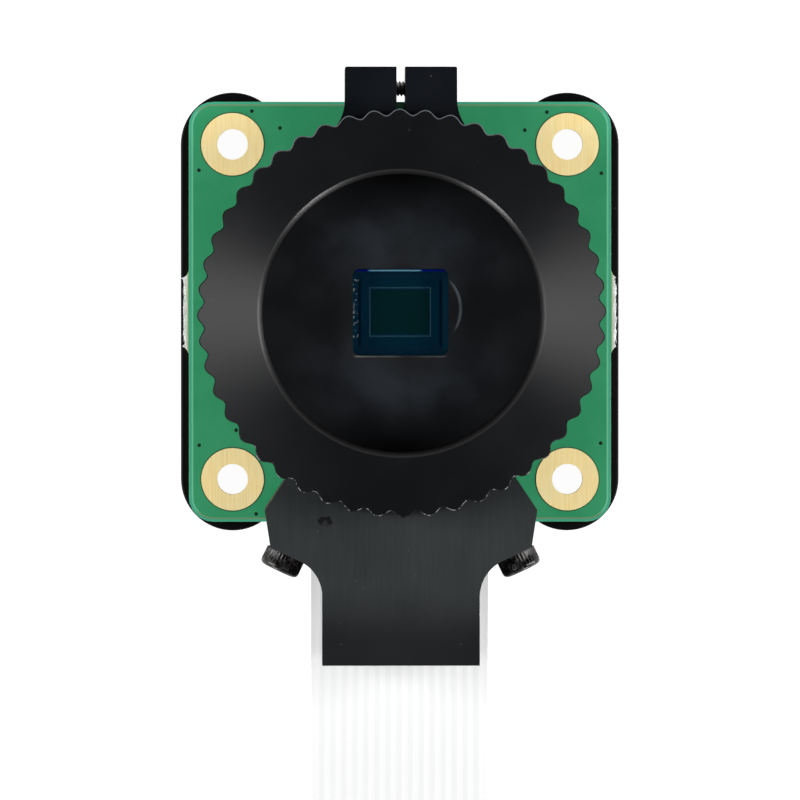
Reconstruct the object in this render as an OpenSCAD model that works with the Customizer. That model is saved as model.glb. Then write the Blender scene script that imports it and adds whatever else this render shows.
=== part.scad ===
// Board camera module for C/CS lenses, lying on its rear cover.
// Millimetres. The origin is on the optical axis, on the rear face of the cover.
// +Z points out through the lens thread, +Y to the clamp lugs, -Y to the tripod foot and the ribbon.

/* [Circuit board] */
// Board width along X
board_w = 37.8; // [36:0.1:42]
// Board height along Y
board_h = 37.6; // [36:0.1:42]
// Board thickness
board_t = 1.4; // [1:0.1:2]
// Radius of the board's corners
board_corner_r = 2.2; // [1:0.1:4]
// Distance between the corner mounting holes, both ways
hole_pitch = 30; // [28:0.1:31]
// Finished diameter of a mounting hole
hole_d = 2.75; // [2:0.05:3.2]
// Outer diameter of the gold pad round a mounting hole
pad_d = 5.6; // [4:0.1:6.5]
// Thickness of the plating on the pads and in the holes
plating_t = 0.05; // [0.03:0.01:0.1]
// Length of the torn break-off tab left on each side of the board
tab_l = 7.2; // [4:0.1:10]

/* [Rear cover] */
// Depth of the cover, from its rear face to the board
cover_depth = 4.75; // [4:0.05:7]
// Diameter of the round lobe about each mounting hole
lobe_d = 9.3; // [8:0.1:11]
// Thickness of the cover's floor
cover_floor_t = 1; // [0.6:0.1:1.6]
// Thickness of the cover's side walls
cover_wall_t = 1.4; // [0.8:0.1:2]
// Diameter of the through hole in each lobe
cover_hole_d = 3.2; // [3:0.1:4]
// How far the cover's straight sides stand out past the board's sides
cover_overhang = 0.75; // [0.4:0.05:1]
// Setback of the cover's upper and lower edges from the board's edges
cover_setback = 0.6; // [0.2:0.1:1.5]

/* [Image sensor] */
// Sensor package width
sensor_w = 10.6; // [8:0.1:11.5]
// Sensor package height along Y
sensor_h = 9.4; // [7:0.1:10.5]
// Height of the light-sensitive surface above the board
sensor_plane_h = 1.07; // [0.8:0.01:1.3]
// Thickness of the glass lid on the package
lid_t = 0.5; // [0.3:0.05:0.7]
// Width of the silicon die
die_w = 7; // [6:0.1:8]
// Height of the silicon die along Y
die_h = 6; // [5:0.1:7]

/* [Lens housing] */
// Outer diameter of the round housing
housing_d = 33.8; // [33:0.1:35]
// Height of the solid base, from the gasket to the inner floor
base_t = 3.8; // [3.5:0.1:5]
// Height of the clamp wall above the inner floor
clamp_h = 4.1; // [3.5:0.1:6]
// Thickness of the dust gasket under the housing
gasket_t = 0.3; // [0.2:0.05:0.5]
// Width of the aperture in the inner floor
aperture_w = 8.55; // [7:0.05:9]
// Height of the aperture along Y
aperture_h = 7.75; // [6:0.05:8.2]
// Thickness of the floor round the aperture
plate_t = 0.9; // [0.6:0.05:1.2]
// Thickness of the blue filter glass
filter_t = 0.7; // [0.4:0.05:0.9]
// Width over both clamp lugs
lugs_w = 9.95; // [9:0.05:12]
// Width of the slit between the lugs
slit_w = 0.78; // [0.5:0.02:1.2]
// Reach of the lugs from the optical axis
lug_reach = 21.8; // [20.8:0.1:24]
// Radius of the fillets where the lugs leave the round wall
lug_fillet_r = 4; // [2:0.1:5]

/* [Back-focus ring] */
// Outer diameter over the scallop peaks
ring_d = 36; // [35.5:0.1:38]
// Number of scallops round the ring
scallops = 48; // [36:1:60]
// Depth of a scallop, from peak to valley
scallop_depth = 0.56; // [0.3:0.02:0.8]
// Thickness of the scalloped flange
flange_t = 4.9; // [4:0.1:6]
// Gap between the flange and the housing, which is one turn of the barrel's thread
ring_gap = 0.5; // [0.3:0.05:0.8]
// Outer diameter of the threaded barrel
barrel_d = 28.2; // [27.8:0.1:29]
// Major diameter of the lens thread
lens_thread_d = 25.4; // [25:0.05:25.8]
// Length of the lens thread
lens_thread_l = 5; // [4:0.1:6]

/* [Tripod mount] */
// Width of the foot
foot_w = 13.97; // [12:0.01:15]
// Distance from the optical axis to the foot's end face
foot_reach = 31.3; // [30:0.1:36]
// Thickness of the foot along Z
foot_t = 10.2; // [9.5:0.1:10.4]
// Angle of each fixing screw from straight down
screw_angle = 25.4; // [24:0.1:27]
// Distance from the optical axis to the seats of the screw heads
seat_reach = 23.75; // [23.3:0.05:24.5]
// Width of a screw seat outward of its screw
seat_outer = 1.55; // [1.3:0.05:1.8]
// Radius of the concave corner between a seat and the foot
foot_fillet_r = 3.5; // [2:0.1:4]
// Major diameter of the tripod thread
tripod_thread_d = 6.35; // [6:0.05:6.6]
// Depth of the tripod thread
tripod_thread_l = 9.5; // [7:0.1:10]

/* [Screws] */
// Thread diameter of the mount screws and of the rear housing screws
cap_screw_d = 2; // [1.6:0.1:2.2]
// Head diameter of those screws
cap_head_d = 3.6; // [3.4:0.1:3.9]
// Head height of those screws
cap_head_h = 1.7; // [1.4:0.1:2]
// Hexagon key size of those screws, across the flats
key_size = 1.5; // [1.3:0.1:1.6]
// Thread diameter of the ring's lock screw
lock_screw_d = 1.4; // [1.2:0.1:1.6]
// Head diameter of the lock screw
lock_head_d = 2.6; // [2.2:0.1:3]
// Head height of the lock screw
lock_head_h = 1.1; // [0.8:0.1:1.4]
// Thickness of the washers on the rear housing screws
washer_t = 0.3; // [0.2:0.05:0.5]

/* [Ribbon and connector] */
// Number of ways
ways = 15; // [11:1:15]
// Pitch of the ways
way_pitch = 1; // [0.95:0.01:1.03]
// Plain edge of the ribbon outside its first and last ways
ribbon_edge = 1; // [0.8:0.05:1.2]
// Thickness of the bare ribbon
ribbon_t = 0.2; // [0.12:0.02:0.24]
// Length of the stiffener at each end of the ribbon
stiffener_l = 5; // [4:0.1:5.1]
// Thickness of a stiffener
stiffener_t = 0.15; // [0.1:0.01:0.2]
// How far the connector body reaches past the ribbon on each side
connector_side = 2.75; // [2.5:0.05:3]
// Length of the connector body along Y
connector_l = 5.8; // [5.4:0.1:6.4]
// Height of the connector body off the board
connector_h = 2.7; // [2.5:0.1:3]
// Length of the latch's pull bar along Y
latch_bar_l = 1.2; // [0.9:0.1:1.5]

/* [Hidden] */
$fn = 96;

// Clearances
close_fit = 0.02; // threads and plated holes, on the radius
thread_fit = 0.05; // the ring's barrel in the housing, on the radius
free_fit = 0.1; // screws through plain holes, on the radius
slide_fit = 0.08; // the latch and the ribbon in the connector
overcut = 1; // how far a cutter runs past the face it opens

// Planes along the optical axis
board_z0 = cover_depth + plating_t;
board_z1 = board_z0 + board_t;
housing_z0 = board_z1 + gasket_t;
floor_z = housing_z0 + base_t;
housing_z1 = floor_z + clamp_h;
ring_z0 = housing_z1 + ring_gap;
ring_z1 = ring_z0 + flange_t;
barrel_clear = ring_gap + 0.3;
barrel_z0 = floor_z + barrel_clear;

// Board
hole_r = hole_d / 2;
hole_xy = hole_pitch / 2;
tab_root = 0.3; // how far a tab's outline runs into the board

// Rear cover
cover_w = board_w + 2 * cover_overhang;
cover_h = board_h - 2 * cover_setback;
post_r = cover_hole_d / 2 + 1.3;

// Housing base and cavity
housing_r = housing_d / 2;
cavity_clear = 1.2;
cavity_w = sensor_w + 2 * cavity_clear;
cavity_h = sensor_h + 2 * cavity_clear;
cavity_z1 = floor_z - plate_t;
cavity_corner_r = 1;
aperture_corner_r = 0.7;
rim_chamfer = 0.3;

// Sensor stack
die_t = 0.27;
die_z1 = board_z1 + sensor_plane_h;
die_z0 = die_z1 - die_t;
well_w = die_w + 1.3;
well_h = die_h + 1.1;
lid_margin = 0.5;
lid_gap = 0.28; // air between the die and the lid
package_z1 = die_z1 + lid_gap;

// Filter under the aperture plate
filter_lap = 0.8;
filter_w = aperture_w + 2 * filter_lap;
filter_h = aperture_h + 2 * filter_lap;
filter_z0 = cavity_z1 - filter_t;
bead_w = 0.45;
bead_l = 0.7 * filter_h;
bead_h = 0.6 * filter_t;

// Rear housing screws
rear_screw_x = (cavity_w / 2 + barrel_d / 2) / 2 + 1.2;
rear_screw_bite = 2.6;
cap_screw_r = cap_screw_d / 2;
cap_head_r = cap_head_d / 2;
rear_seat_z = cap_head_h + washer_t + 0.4;
counterbore_r = cap_head_r + 0.25;
boss_r = counterbore_r + 1;
washer_r = cap_head_r + 0.15;
head_edge = 0.2;

// Clamp lugs and the lock screw
lock_r = lock_screw_d / 2;
lock_inset = 1.9; // from the screw's axis to the lugs' end face
lock_y = lug_reach - lock_inset;
lug_z0 = board_z1 + 0.8;
lug_z1 = housing_z1 - 0.2;
lock_z = (lug_z0 + lug_z1) / 2;
lock_seat_x = lugs_w / 2 - lock_head_h - 0.7;
lock_tip_x = -lugs_w / 2 + 0.9;
lug_corner_r = 0.15;

// Ring
ring_r = ring_d / 2;
scallop_mean_r = ring_r - scallop_depth / 2;
steps_per_scallop = 8;
crest_fullness = 0.16; // how much fuller a crest is than a valley, as a share of half the depth
ring_turn = 0.6; // how far the ring stands turned, in degrees
barrel_r = barrel_d / 2;
lens_r = lens_thread_d / 2;
relief_r = lens_r + 0.35;
lens_thread_z0 = ring_z1 - lens_thread_l;

// Tripod mount
mount_z0 = board_z1 + 0.4;
mount_z1 = housing_z1 - 0.1;
foot_z0 = mount_z1 - foot_t;
foot_top_y = -board_h / 2 - 0.4;
mount_screw_z = (mount_z0 + mount_z1) / 2;
mount_screw_bite = housing_r - barrel_r - thread_fit - 0.45;
seat_fit = 0.03;
arm_angle = 55; // where the arm's upper edge meets the housing, below the X axis
arm_sink = 0.8; // how far the arm's outline runs into the housing before it is cut back
arm_rise = [0.5, 3.3]; // from the outer end of a screw seat to the arm's widest point
tripod_r = tripod_thread_d / 2;
tripod_z = (foot_z0 + mount_z1) / 2;

// Connector and latch, hanging under the board with the mouth towards -Y
ribbon_w = (ways - 1) * way_pitch + 2 * ribbon_edge;
connector_w = ribbon_w + 2 * connector_side;
connector_y0 = -board_h / 2 + 0.4;
connector_y1 = connector_y0 + connector_l;
connector_z0 = board_z0 - connector_h;
ribbon_z = board_z0 - 1.6;
ribbon_r = ribbon_w / 2;
slot_side = 1.6; // room for a latch arm on each side of the ribbon
slot_w = ribbon_w + 2 * slot_side;
slot_z0 = connector_z0 + 0.4;
slot_z1 = ribbon_z + ribbon_t / 2 + slide_fit;
slot_back_y = connector_y1 - 1.4;
contact_w = 0.3;
contact_t = 0.3;
tail_l = 0.7;
tail_t = 0.15;
latch_front_gap = 0.05;
latch_bar_w = slot_w - 0.2;
latch_y1 = connector_y0 - latch_front_gap;
latch_y0 = latch_y1 - latch_bar_l;
latch_z1 = ribbon_z + ribbon_t / 2 + 0.55;
latch_reach = 3;
tongue_t = 0.3;
hold_t = 0.15;
hold_l = 2;
notch_clear = 1;
notch_w = connector_w + 2 * notch_clear;
notch_y1 = connector_y1 + tail_l + 0.4;

// Ribbon: its centreline in [y, z], in the plane x = 0. It leaves the connector level, sinks to
// the surface that the cover stands on and lies straight along it. The far end lifts by the
// thickness of its stiffener. Its length is 150.
ribbon_route = [
    [-14.4, 3.2], [-17, 3.2], [-19.5, 3.2], [-21.5, 3.17], [-23.5, 3.02], [-25.5, 2.72],
    [-27.5, 2.28], [-29.5, 1.76], [-31.5, 1.24], [-33.5, 0.8], [-35.5, 0.46], [-37.5, 0.24],
    [-39.5, 0.13], [-42, 0.1], [-50, 0.1], [-60, 0.1], [-72, 0.1], [-84, 0.1], [-96, 0.1],
    [-108, 0.1], [-120, 0.1], [-132, 0.1], [-142, 0.1], [-150, 0.1], [-154, 0.14],
    [-157, 0.25], [-160, 0.25], [-164.1, 0.25],
];

// Parts under the board: sizes are [along X, along Y, height], places are on the board
regulator_size = [2.9, 1.6, 1.1];
regulator_x = 7.5;
regulator_y = 8;
regulator_pitch = 3.5;
bulk_cap_size = [1, 1.6, 0.8];
bulk_cap_x = regulator_x + regulator_size[0] / 2 + bulk_cap_size[0] / 2 + 1.15;
oscillator_size = [3.2, 2.5, 0.9];
oscillator_place = [-6, 6];
logic_size = [4, 4, 0.9];
logic_place = [-0.5, 9.5];
small_cap_size = [1, 0.5, 0.5];
small_cap_y = 1;
small_cap_pitch = 2.4;
bulk_row_y = -6;
bulk_row_pitch = 3;
resistor_size = [0.5, 1, 0.35];
resistor_y = -9;
resistor_pitch = 1.8;
inductor_size = [2, 2, 1];
inductor_place = [8, -6.25];
inductor_pitch = 3.5;

ribbon_near = ribbon_route[0];
ribbon_far = ribbon_route[len(ribbon_route) - 1];

function polar(r, angle) = r * [cos(angle), sin(angle)];

function arc(centre, r, from, to, steps) =
    [for (i = [0:steps]) centre + polar(r, from + (to - from) * i / steps)];

function rounded_box(w, h, r, steps = 6) =
    concat(
        arc([w / 2 - r, h / 2 - r], r, 0, 90, steps),
        arc([r - w / 2, h / 2 - r], r, 90, 180, steps),
        arc([r - w / 2, r - h / 2], r, 180, 270, steps),
        arc([w / 2 - r, r - h / 2], r, 270, 360, steps)
    );

module at_corners() {
    for (x = [-hole_xy, hole_xy], y = [-hole_xy, hole_xy]) {
        translate([x, y, 0]) children();
    }
}

module both_sides() {
    children();
    mirror([1, 0, 0]) children();
}

// A block given by two opposite corners
module block(low, high) {
    translate(low) cube(high - low);
}

// A cylinder from z0 to z1
module post(r, z0, z1) {
    translate([0, 0, z0]) cylinder(r = r, h = z1 - z0);
}

// Outline of the fibreglass left where the left and right break-off tabs were snapped,
// given outward from the board's edge and along it, as shares of the tab's length
left_tear = [
    [-tab_root, 0.56], [0.02, 0.52], [0.1, 0.48], [0.23, 0.45], [0.45, 0.43], [0.75, 0.42],
    [0.52, 0.4], [0.44, 0.34], [0.39, 0.25], [0.3, 0.17], [0.34, 0.12], [0.52, 0.06],
    [0.5, -0.02], [0.41, -0.1], [0.45, -0.17], [0.39, -0.28], [0.34, -0.39], [0.6, -0.43],
    [0.33, -0.45], [0.15, -0.48], [0.03, -0.52], [-tab_root, -0.56],
];
right_tear = [
    [-tab_root, -0.56], [0.02, -0.52], [0.12, -0.48], [0.3, -0.45], [0.46, -0.43],
    [0.32, -0.38], [0.34, -0.28], [0.4, -0.16], [0.58, -0.06], [0.42, -0.07], [0.37, 0.06],
    [0.39, 0.17], [0.34, 0.25], [0.29, 0.33], [0.32, 0.41], [0.46, 0.43], [0.3, 0.44],
    [0.15, 0.47], [0.03, 0.51], [-tab_root, 0.56],
];

module tear(outline, side) {
    polygon([for (p = outline) [side * (board_w / 2 + p[0]), p[1] * tab_l]]);
}

module circuit_board() {
    color([0.2, 0.52, 0.35])
        difference() {
            translate([0, 0, board_z0])
                linear_extrude(board_t) {
                    polygon(rounded_box(board_w, board_h, board_corner_r));
                    tear(left_tear, -1);
                    tear(right_tear, 1);
                }
            at_corners() post(hole_r + plating_t + close_fit, board_z0 - overcut, board_z1 + overcut);
            both_sides()
                translate([rear_screw_x, 0, 0])
                    post(cap_screw_r + free_fit, board_z0 - overcut, board_z1 + overcut);
        }
}

module hole_pads() {
    color([0.93, 0.84, 0.6])
        at_corners()
            difference() {
                union() {
                    post(pad_d / 2, board_z0 - plating_t, board_z0);
                    post(hole_r + plating_t, board_z0 - plating_t, board_z1 + plating_t);
                    post(pad_d / 2, board_z1, board_z1 + plating_t);
                }
                post(hole_r, board_z0 - overcut, board_z1 + overcut);
            }
}

module image_sensor() {
    color([0.12, 0.12, 0.13])
        difference() {
            translate([0, 0, board_z1])
                linear_extrude(package_z1 - board_z1)
                    polygon(rounded_box(sensor_w, sensor_h, 0.3));
            block([-well_w / 2, -well_h / 2, die_z0], [well_w / 2, well_h / 2, package_z1 + overcut]);
        }
}

module sensor_die() {
    color([0.05, 0.2, 0.2])
        block([-die_w / 2, -die_h / 2, die_z0], [die_w / 2, die_h / 2, die_z1]);
}

module sensor_lid() {
    lid_w = sensor_w - 2 * lid_margin;
    lid_h = sensor_h - 2 * lid_margin;
    color([0.7, 0.8, 0.85])
        block([-lid_w / 2, -lid_h / 2, package_z1], [lid_w / 2, lid_h / 2, package_z1 + lid_t]);
}

module housing_gasket() {
    color([0.06, 0.06, 0.06])
        difference() {
            post(housing_r - 0.4, board_z1, housing_z0);
            translate([0, 0, board_z1 - overcut])
                linear_extrude(gasket_t + 2 * overcut)
                    polygon(rounded_box(cavity_w, cavity_h, cavity_corner_r));
            both_sides()
                translate([rear_screw_x, 0, 0])
                    post(cap_screw_r + 2 * free_fit, board_z1 - overcut, housing_z0 + overcut);
        }
}

// Upper outline of the housing: the two lugs, their fillets and a root inside the round wall
module lug_outline() {
    half_w = lugs_w / 2;
    fillet_x = half_w + lug_fillet_r;
    fillet_y = sqrt(pow(housing_r + lug_fillet_r, 2) - pow(fillet_x, 2));
    sweep = atan2(fillet_y, fillet_x);
    right = concat(
        [[0, 0]],
        arc([fillet_x, fillet_y], lug_fillet_r, 180 + sweep, 180, 10),
        arc([half_w - lug_corner_r, lug_reach - lug_corner_r], lug_corner_r, 0, 90, 4),
        [[0, lug_reach]]
    );
    both_sides() polygon(right);
}

module lens_housing() {
    color([0.09, 0.09, 0.1])
        difference() {
            union() {
                post(housing_r, housing_z0, housing_z1 - rim_chamfer);
                translate([0, 0, housing_z1 - rim_chamfer])
                    cylinder(r1 = housing_r, r2 = housing_r - rim_chamfer, h = rim_chamfer);
                translate([0, 0, lug_z0]) linear_extrude(lug_z1 - lug_z0) lug_outline();
            }
            housing_interior();
            housing_screw_holes();
        }
}

module housing_interior() {
    post(barrel_r + thread_fit, floor_z, housing_z1 + overcut);
    translate([0, 0, housing_z0 - overcut])
        linear_extrude(cavity_z1 - housing_z0 + overcut)
            polygon(rounded_box(cavity_w, cavity_h, cavity_corner_r));
    translate([0, 0, cavity_z1 - overcut])
        linear_extrude(plate_t + 2 * overcut)
            polygon(rounded_box(aperture_w, aperture_h, aperture_corner_r));
    // The slit opens the clamp wall above the floor, and runs right through between the lugs
    slit(barrel_r - overcut, floor_z);
    slit(housing_r, lug_z0 - overcut);
}

module slit(from_y, from_z) {
    block([-slit_w / 2, from_y, from_z], [slit_w / 2, lug_reach + overcut, housing_z1 + overcut]);
}

module housing_screw_holes() {
    both_sides()
        translate([rear_screw_x, 0, 0])
            post(cap_screw_r + close_fit, housing_z0 - overcut, housing_z0 + rear_screw_bite + 0.2);
    at_mount_screws()
        post(cap_screw_r + close_fit, housing_r - mount_screw_bite - 0.2, housing_r + overcut);
    along_lock_screw() {
        post(lock_r + close_fit, lock_tip_x - 0.2, slit_w / 2);
        post(lock_r + free_fit, 0, lock_seat_x);
        post(lock_head_d / 2 + free_fit, lock_seat_x, lugs_w / 2 + overcut);
    }
}

// Turns +Z to point along the lock screw, towards its head
module along_lock_screw() {
    translate([0, lock_y, lock_z]) rotate([0, 90, 0]) children();
}

// Turns +Z to point outward along each tripod mount screw
module at_mount_screws() {
    both_sides()
        translate([0, 0, mount_screw_z])
            rotate([0, 0, screw_angle])
                rotate([90, 0, 0])
                    children();
}

module ir_cut_filter() {
    color([0.05, 0.2, 0.45])
        block([-filter_w / 2, -filter_h / 2, filter_z0], [filter_w / 2, filter_h / 2, cavity_z1]);
}

module filter_adhesive() {
    color([0.8, 0.82, 0.8])
        both_sides()
            block(
                [filter_w / 2, -bead_l / 2, cavity_z1 - bead_h],
                [filter_w / 2 + bead_w, bead_l / 2, cavity_z1]
            );
}

// The scalloped grip is a smooth wave round the flange
module back_focus_ring() {
    steps = scallops * steps_per_scallop;
    wave = [
        for (i = [0:steps - 1])
            let (angle = 360 * i / steps, phase = scallops * (angle - ring_turn))
                polar(
                    scallop_mean_r
                        + scallop_depth / 2 * (cos(phase) + crest_fullness * pow(sin(phase), 2)),
                    angle
                )
    ];
    color([0.08, 0.08, 0.09])
        difference() {
            union() {
                translate([0, 0, ring_z0]) linear_extrude(flange_t) polygon(wave);
                post(barrel_r, barrel_z0, ring_z0);
            }
            post(lens_r, lens_thread_z0, ring_z1 + overcut);
            post(relief_r, barrel_z0 - overcut, lens_thread_z0);
        }
}

module lock_screw() {
    color([0.15, 0.15, 0.16])
        along_lock_screw()
            difference() {
                union() {
                    post(lock_r, lock_tip_x, lock_seat_x);
                    post(lock_head_d / 2, lock_seat_x, lock_seat_x + lock_head_h);
                }
                translate([-lock_head_d, -0.2, lock_seat_x + lock_head_h * 0.5])
                    cube([2 * lock_head_d, 0.4, lock_head_h]);
            }
}

// Front outline of one half of the tripod mount, from the arm on the housing to the foot
module mount_outline() {
    seat_dir = [-cos(screw_angle), -sin(screw_angle)];
    seat_mid = seat_reach * [sin(screw_angle), -cos(screw_angle)];
    turn = 90 - screw_angle;
    run = foot_fillet_r * tan(turn / 2);
    to_corner = (foot_w / 2 - seat_mid[0]) / seat_dir[0];
    corner = seat_mid + to_corner * seat_dir;
    seat_end = seat_mid - seat_outer * seat_dir;
    polygon(concat(
        [[0, -housing_r / 2], polar(housing_r - arm_sink, -arm_angle), seat_end + arm_rise, seat_end],
        arc([corner[0] + foot_fillet_r, corner[1] - run], foot_fillet_r, 180 - turn, 180, 10),
        [[foot_w / 2, -foot_reach], [0, -foot_reach]]
    ));
}

module tripod_mount() {
    color([0.2, 0.2, 0.21])
        difference() {
            union() {
                translate([0, 0, mount_z0])
                    linear_extrude(mount_z1 - mount_z0)
                        both_sides() mount_outline();
                block([-foot_w / 2, -foot_reach, foot_z0], [foot_w / 2, foot_top_y, mount_z1]);
            }
            post(housing_r + seat_fit, mount_z0 - overcut, mount_z1 + overcut);
            at_mount_screws() post(cap_screw_r + free_fit, 0, seat_reach + overcut);
            translate([0, -foot_reach, tripod_z])
                rotate([90, 0, 0])
                    post(tripod_r, -tripod_thread_l, overcut);
        }
}

// A socket head cap screw with its seat at z = 0 and its head above
module cap_screw(shank_l) {
    difference() {
        union() {
            post(cap_screw_r, -shank_l, 0);
            post(cap_head_r, 0, cap_head_h - head_edge);
            translate([0, 0, cap_head_h - head_edge])
                cylinder(r1 = cap_head_r, r2 = cap_head_r - head_edge, h = head_edge);
        }
        translate([0, 0, cap_head_h / 2])
            cylinder(r = key_size / sqrt(3), h = cap_head_h, $fn = 6);
    }
}

module tripod_mount_screws() {
    color([0.1, 0.1, 0.1])
        at_mount_screws()
            translate([0, 0, seat_reach])
                cap_screw(seat_reach - housing_r + mount_screw_bite);
}

module cover_outline() {
    square([cover_w, hole_pitch], center = true);
    square([hole_pitch, cover_h], center = true);
}

module rear_cover() {
    color([0.07, 0.07, 0.08])
        difference() {
            union() {
                difference() {
                    union() {
                        linear_extrude(cover_depth) cover_outline();
                        at_corners() post(lobe_d / 2, 0, cover_depth);
                    }
                    block(
                        [cover_wall_t - cover_w / 2, cover_wall_t - cover_h / 2, cover_floor_t],
                        [cover_w / 2 - cover_wall_t, cover_h / 2 - cover_wall_t, cover_depth + overcut]
                    );
                }
                at_corners() post(post_r, 0, cover_depth);
                both_sides() translate([rear_screw_x, 0, 0]) post(boss_r, 0, cover_depth);
            }
            at_corners() post(cover_hole_d / 2, -overcut, cover_depth + overcut);
            both_sides()
                translate([rear_screw_x, 0, 0]) {
                    post(counterbore_r, -overcut, rear_seat_z);
                    post(cap_screw_r + free_fit, 0, cover_depth + overcut);
                }
            block([-notch_w / 2, -cover_w, -overcut], [notch_w / 2, notch_y1, cover_depth + overcut]);
        }
}

module at_rear_screws() {
    both_sides() translate([rear_screw_x, 0, rear_seat_z]) rotate([180, 0, 0]) children();
}

module housing_screws() {
    color([0.15, 0.15, 0.16])
        at_rear_screws()
            translate([0, 0, washer_t])
                cap_screw(housing_z0 + rear_screw_bite - rear_seat_z + washer_t);
}

module screw_washers() {
    color([0.75, 0.75, 0.76])
        at_rear_screws()
            difference() {
                post(washer_r, 0, washer_t);
                post(cap_screw_r + free_fit, -overcut, washer_t + overcut);
            }
}

module at_ways() {
    for (i = [0:ways - 1]) {
        translate([(i - (ways - 1) / 2) * way_pitch, 0, 0]) children();
    }
}

module ribbon_connector() {
    groove_w = contact_w + 0.06;
    color([0.9, 0.88, 0.82])
        difference() {
            block([-connector_w / 2, connector_y0, connector_z0], [connector_w / 2, connector_y1, board_z0]);
            block([-slot_w / 2, connector_y0 - overcut, slot_z0], [slot_w / 2, slot_back_y, slot_z1]);
            at_ways()
                block(
                    [-groove_w / 2, connector_y0 + 0.6, slot_z1 - close_fit],
                    [groove_w / 2, connector_y1 + overcut, slot_z1 + contact_t + 0.03]
                );
        }
}

// A pull bar with a window for the ribbon, a tongue under it and an arm each side
module connector_latch() {
    window_w = ribbon_w + 2 * slide_fit;
    window_z0 = ribbon_z - ribbon_t / 2 - stiffener_t - slide_fit;
    window_z1 = ribbon_z + ribbon_t / 2 + slide_fit;
    tongue_z1 = window_z0;
    back_y = latch_y1 + latch_reach;
    color([0.25, 0.18, 0.13]) {
        difference() {
            block([-latch_bar_w / 2, latch_y0, connector_z0], [latch_bar_w / 2, latch_y1, latch_z1]);
            block(
                [-window_w / 2, latch_y0 - overcut, window_z0],
                [window_w / 2, latch_y1 + overcut, window_z1]
            );
        }
        block([-ribbon_r, latch_y1, tongue_z1 - tongue_t], [ribbon_r, back_y, tongue_z1]);
        both_sides()
            block(
                [window_w / 2 + slide_fit, latch_y1, slot_z0 + slide_fit],
                [latch_bar_w / 2, back_y, slot_z1 - slide_fit]
            );
    }
}

// A blade over the ribbon, a riser behind the body and a tail soldered to the board
module connector_contacts() {
    blade_z0 = slot_z1;
    riser_y = connector_y1 + close_fit;
    color([0.85, 0.83, 0.75])
        at_ways() {
            block(
                [-contact_w / 2, connector_y0 + 1.2, blade_z0],
                [contact_w / 2, riser_y + tail_t, blade_z0 + contact_t]
            );
            block([-contact_w / 2, riser_y, blade_z0], [contact_w / 2, riser_y + tail_t, board_z0]);
            block([-contact_w / 2, riser_y, board_z0 - tail_t], [contact_w / 2, riser_y + tail_l, board_z0]);
        }
}

module connector_hold_downs() {
    mid_y = (connector_y0 + connector_y1) / 2;
    color([0.8, 0.8, 0.8])
        both_sides() {
            block(
                [connector_w / 2, mid_y - hold_l / 2, ribbon_z],
                [connector_w / 2 + hold_t, mid_y + hold_l / 2, board_z0]
            );
            block(
                [connector_w / 2, mid_y - hold_l / 2, board_z0 - hold_t],
                [connector_w / 2 + 0.6, mid_y + hold_l / 2, board_z0]
            );
        }
}

// The flat cable is swept along its route as one solid with chamfered edges
function route_heading(i) =
    let (
        last = len(ribbon_route) - 1,
        ahead = ribbon_route[min(i + 1, last)] - ribbon_route[max(i - 1, 0)]
    )
        ahead / norm(ahead);

function ribbon_section() =
    let (w = ribbon_r, t = ribbon_t / 2, c = ribbon_t / 4)
        [[w - c, -t], [w, c - t], [w, t - c], [w - c, t], [c - w, t], [-w, t - c], [-w, c - t], [c - w, -t]];

function ribbon_ring(i) =
    let (along = route_heading(i), up = [-along[1], along[0]], p = ribbon_route[i])
        [for (s = ribbon_section()) [s[0], p[0] - up[0] * s[1], p[1] - up[1] * s[1]]];

module ribbon_cable() {
    rings = len(ribbon_route);
    sides = len(ribbon_section());
    points = [for (i = [0:rings - 1], p = ribbon_ring(i)) p];
    walls = [
        for (i = [0:rings - 2], k = [0:sides - 1])
            let (a = i * sides + k, b = i * sides + (k + 1) % sides)
                [a, b, b + sides, a + sides]
    ];
    near = [for (k = [sides - 1:-1:0]) k];
    far = [for (k = [0:sides - 1]) (rings - 1) * sides + k];
    color([0.93, 0.93, 0.92]) polyhedron(points = points, faces = concat(walls, [near, far]));
}

// A strip under the ribbon at each end
module ribbon_stiffeners() {
    near_z1 = ribbon_near[1] - ribbon_t / 2;
    far_z1 = ribbon_far[1] - ribbon_t / 2;
    color([0.86, 0.89, 0.93]) {
        block(
            [-ribbon_r, ribbon_near[0] - stiffener_l, near_z1 - stiffener_t],
            [ribbon_r, ribbon_near[0], near_z1]
        );
        block(
            [-ribbon_r, ribbon_far[0], far_z1 - stiffener_t],
            [ribbon_r, ribbon_far[0] + stiffener_l, far_z1]
        );
    }
}

// The bare conductors on top of the ribbon at each end
module ribbon_contacts() {
    strip_w = 0.6 * way_pitch;
    strip_l = 3.6;
    strip_t = 0.03;
    near_z0 = ribbon_near[1] + ribbon_t / 2;
    far_z0 = ribbon_far[1] + ribbon_t / 2;
    color([0.8, 0.8, 0.78])
        at_ways() {
            block(
                [-strip_w / 2, ribbon_near[0] - strip_l, near_z0],
                [strip_w / 2, ribbon_near[0], near_z0 + strip_t]
            );
            block(
                [-strip_w / 2, ribbon_far[0], far_z0],
                [strip_w / 2, ribbon_far[0] + strip_l, far_z0 + strip_t]
            );
        }
}

// A row of equal parts soldered under the board, centred on a place
module chips(size, place, count = 1, step = [0, 0]) {
    for (i = [0:count - 1]) {
        at = place + (i - (count - 1) / 2) * step - [size[0], size[1]] / 2;
        translate([at[0], at[1], board_z0 - size[2]]) cube(size);
    }
}

module voltage_regulators() {
    color([0.1, 0.1, 0.1]) chips(regulator_size, [regulator_x, regulator_y], 3, [0, regulator_pitch]);
}

module clock_oscillator() {
    color([0.8, 0.8, 0.8]) chips(oscillator_size, oscillator_place);
}

module logic_chip() {
    color([0.1, 0.1, 0.1]) chips(logic_size, logic_place);
}

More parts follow.
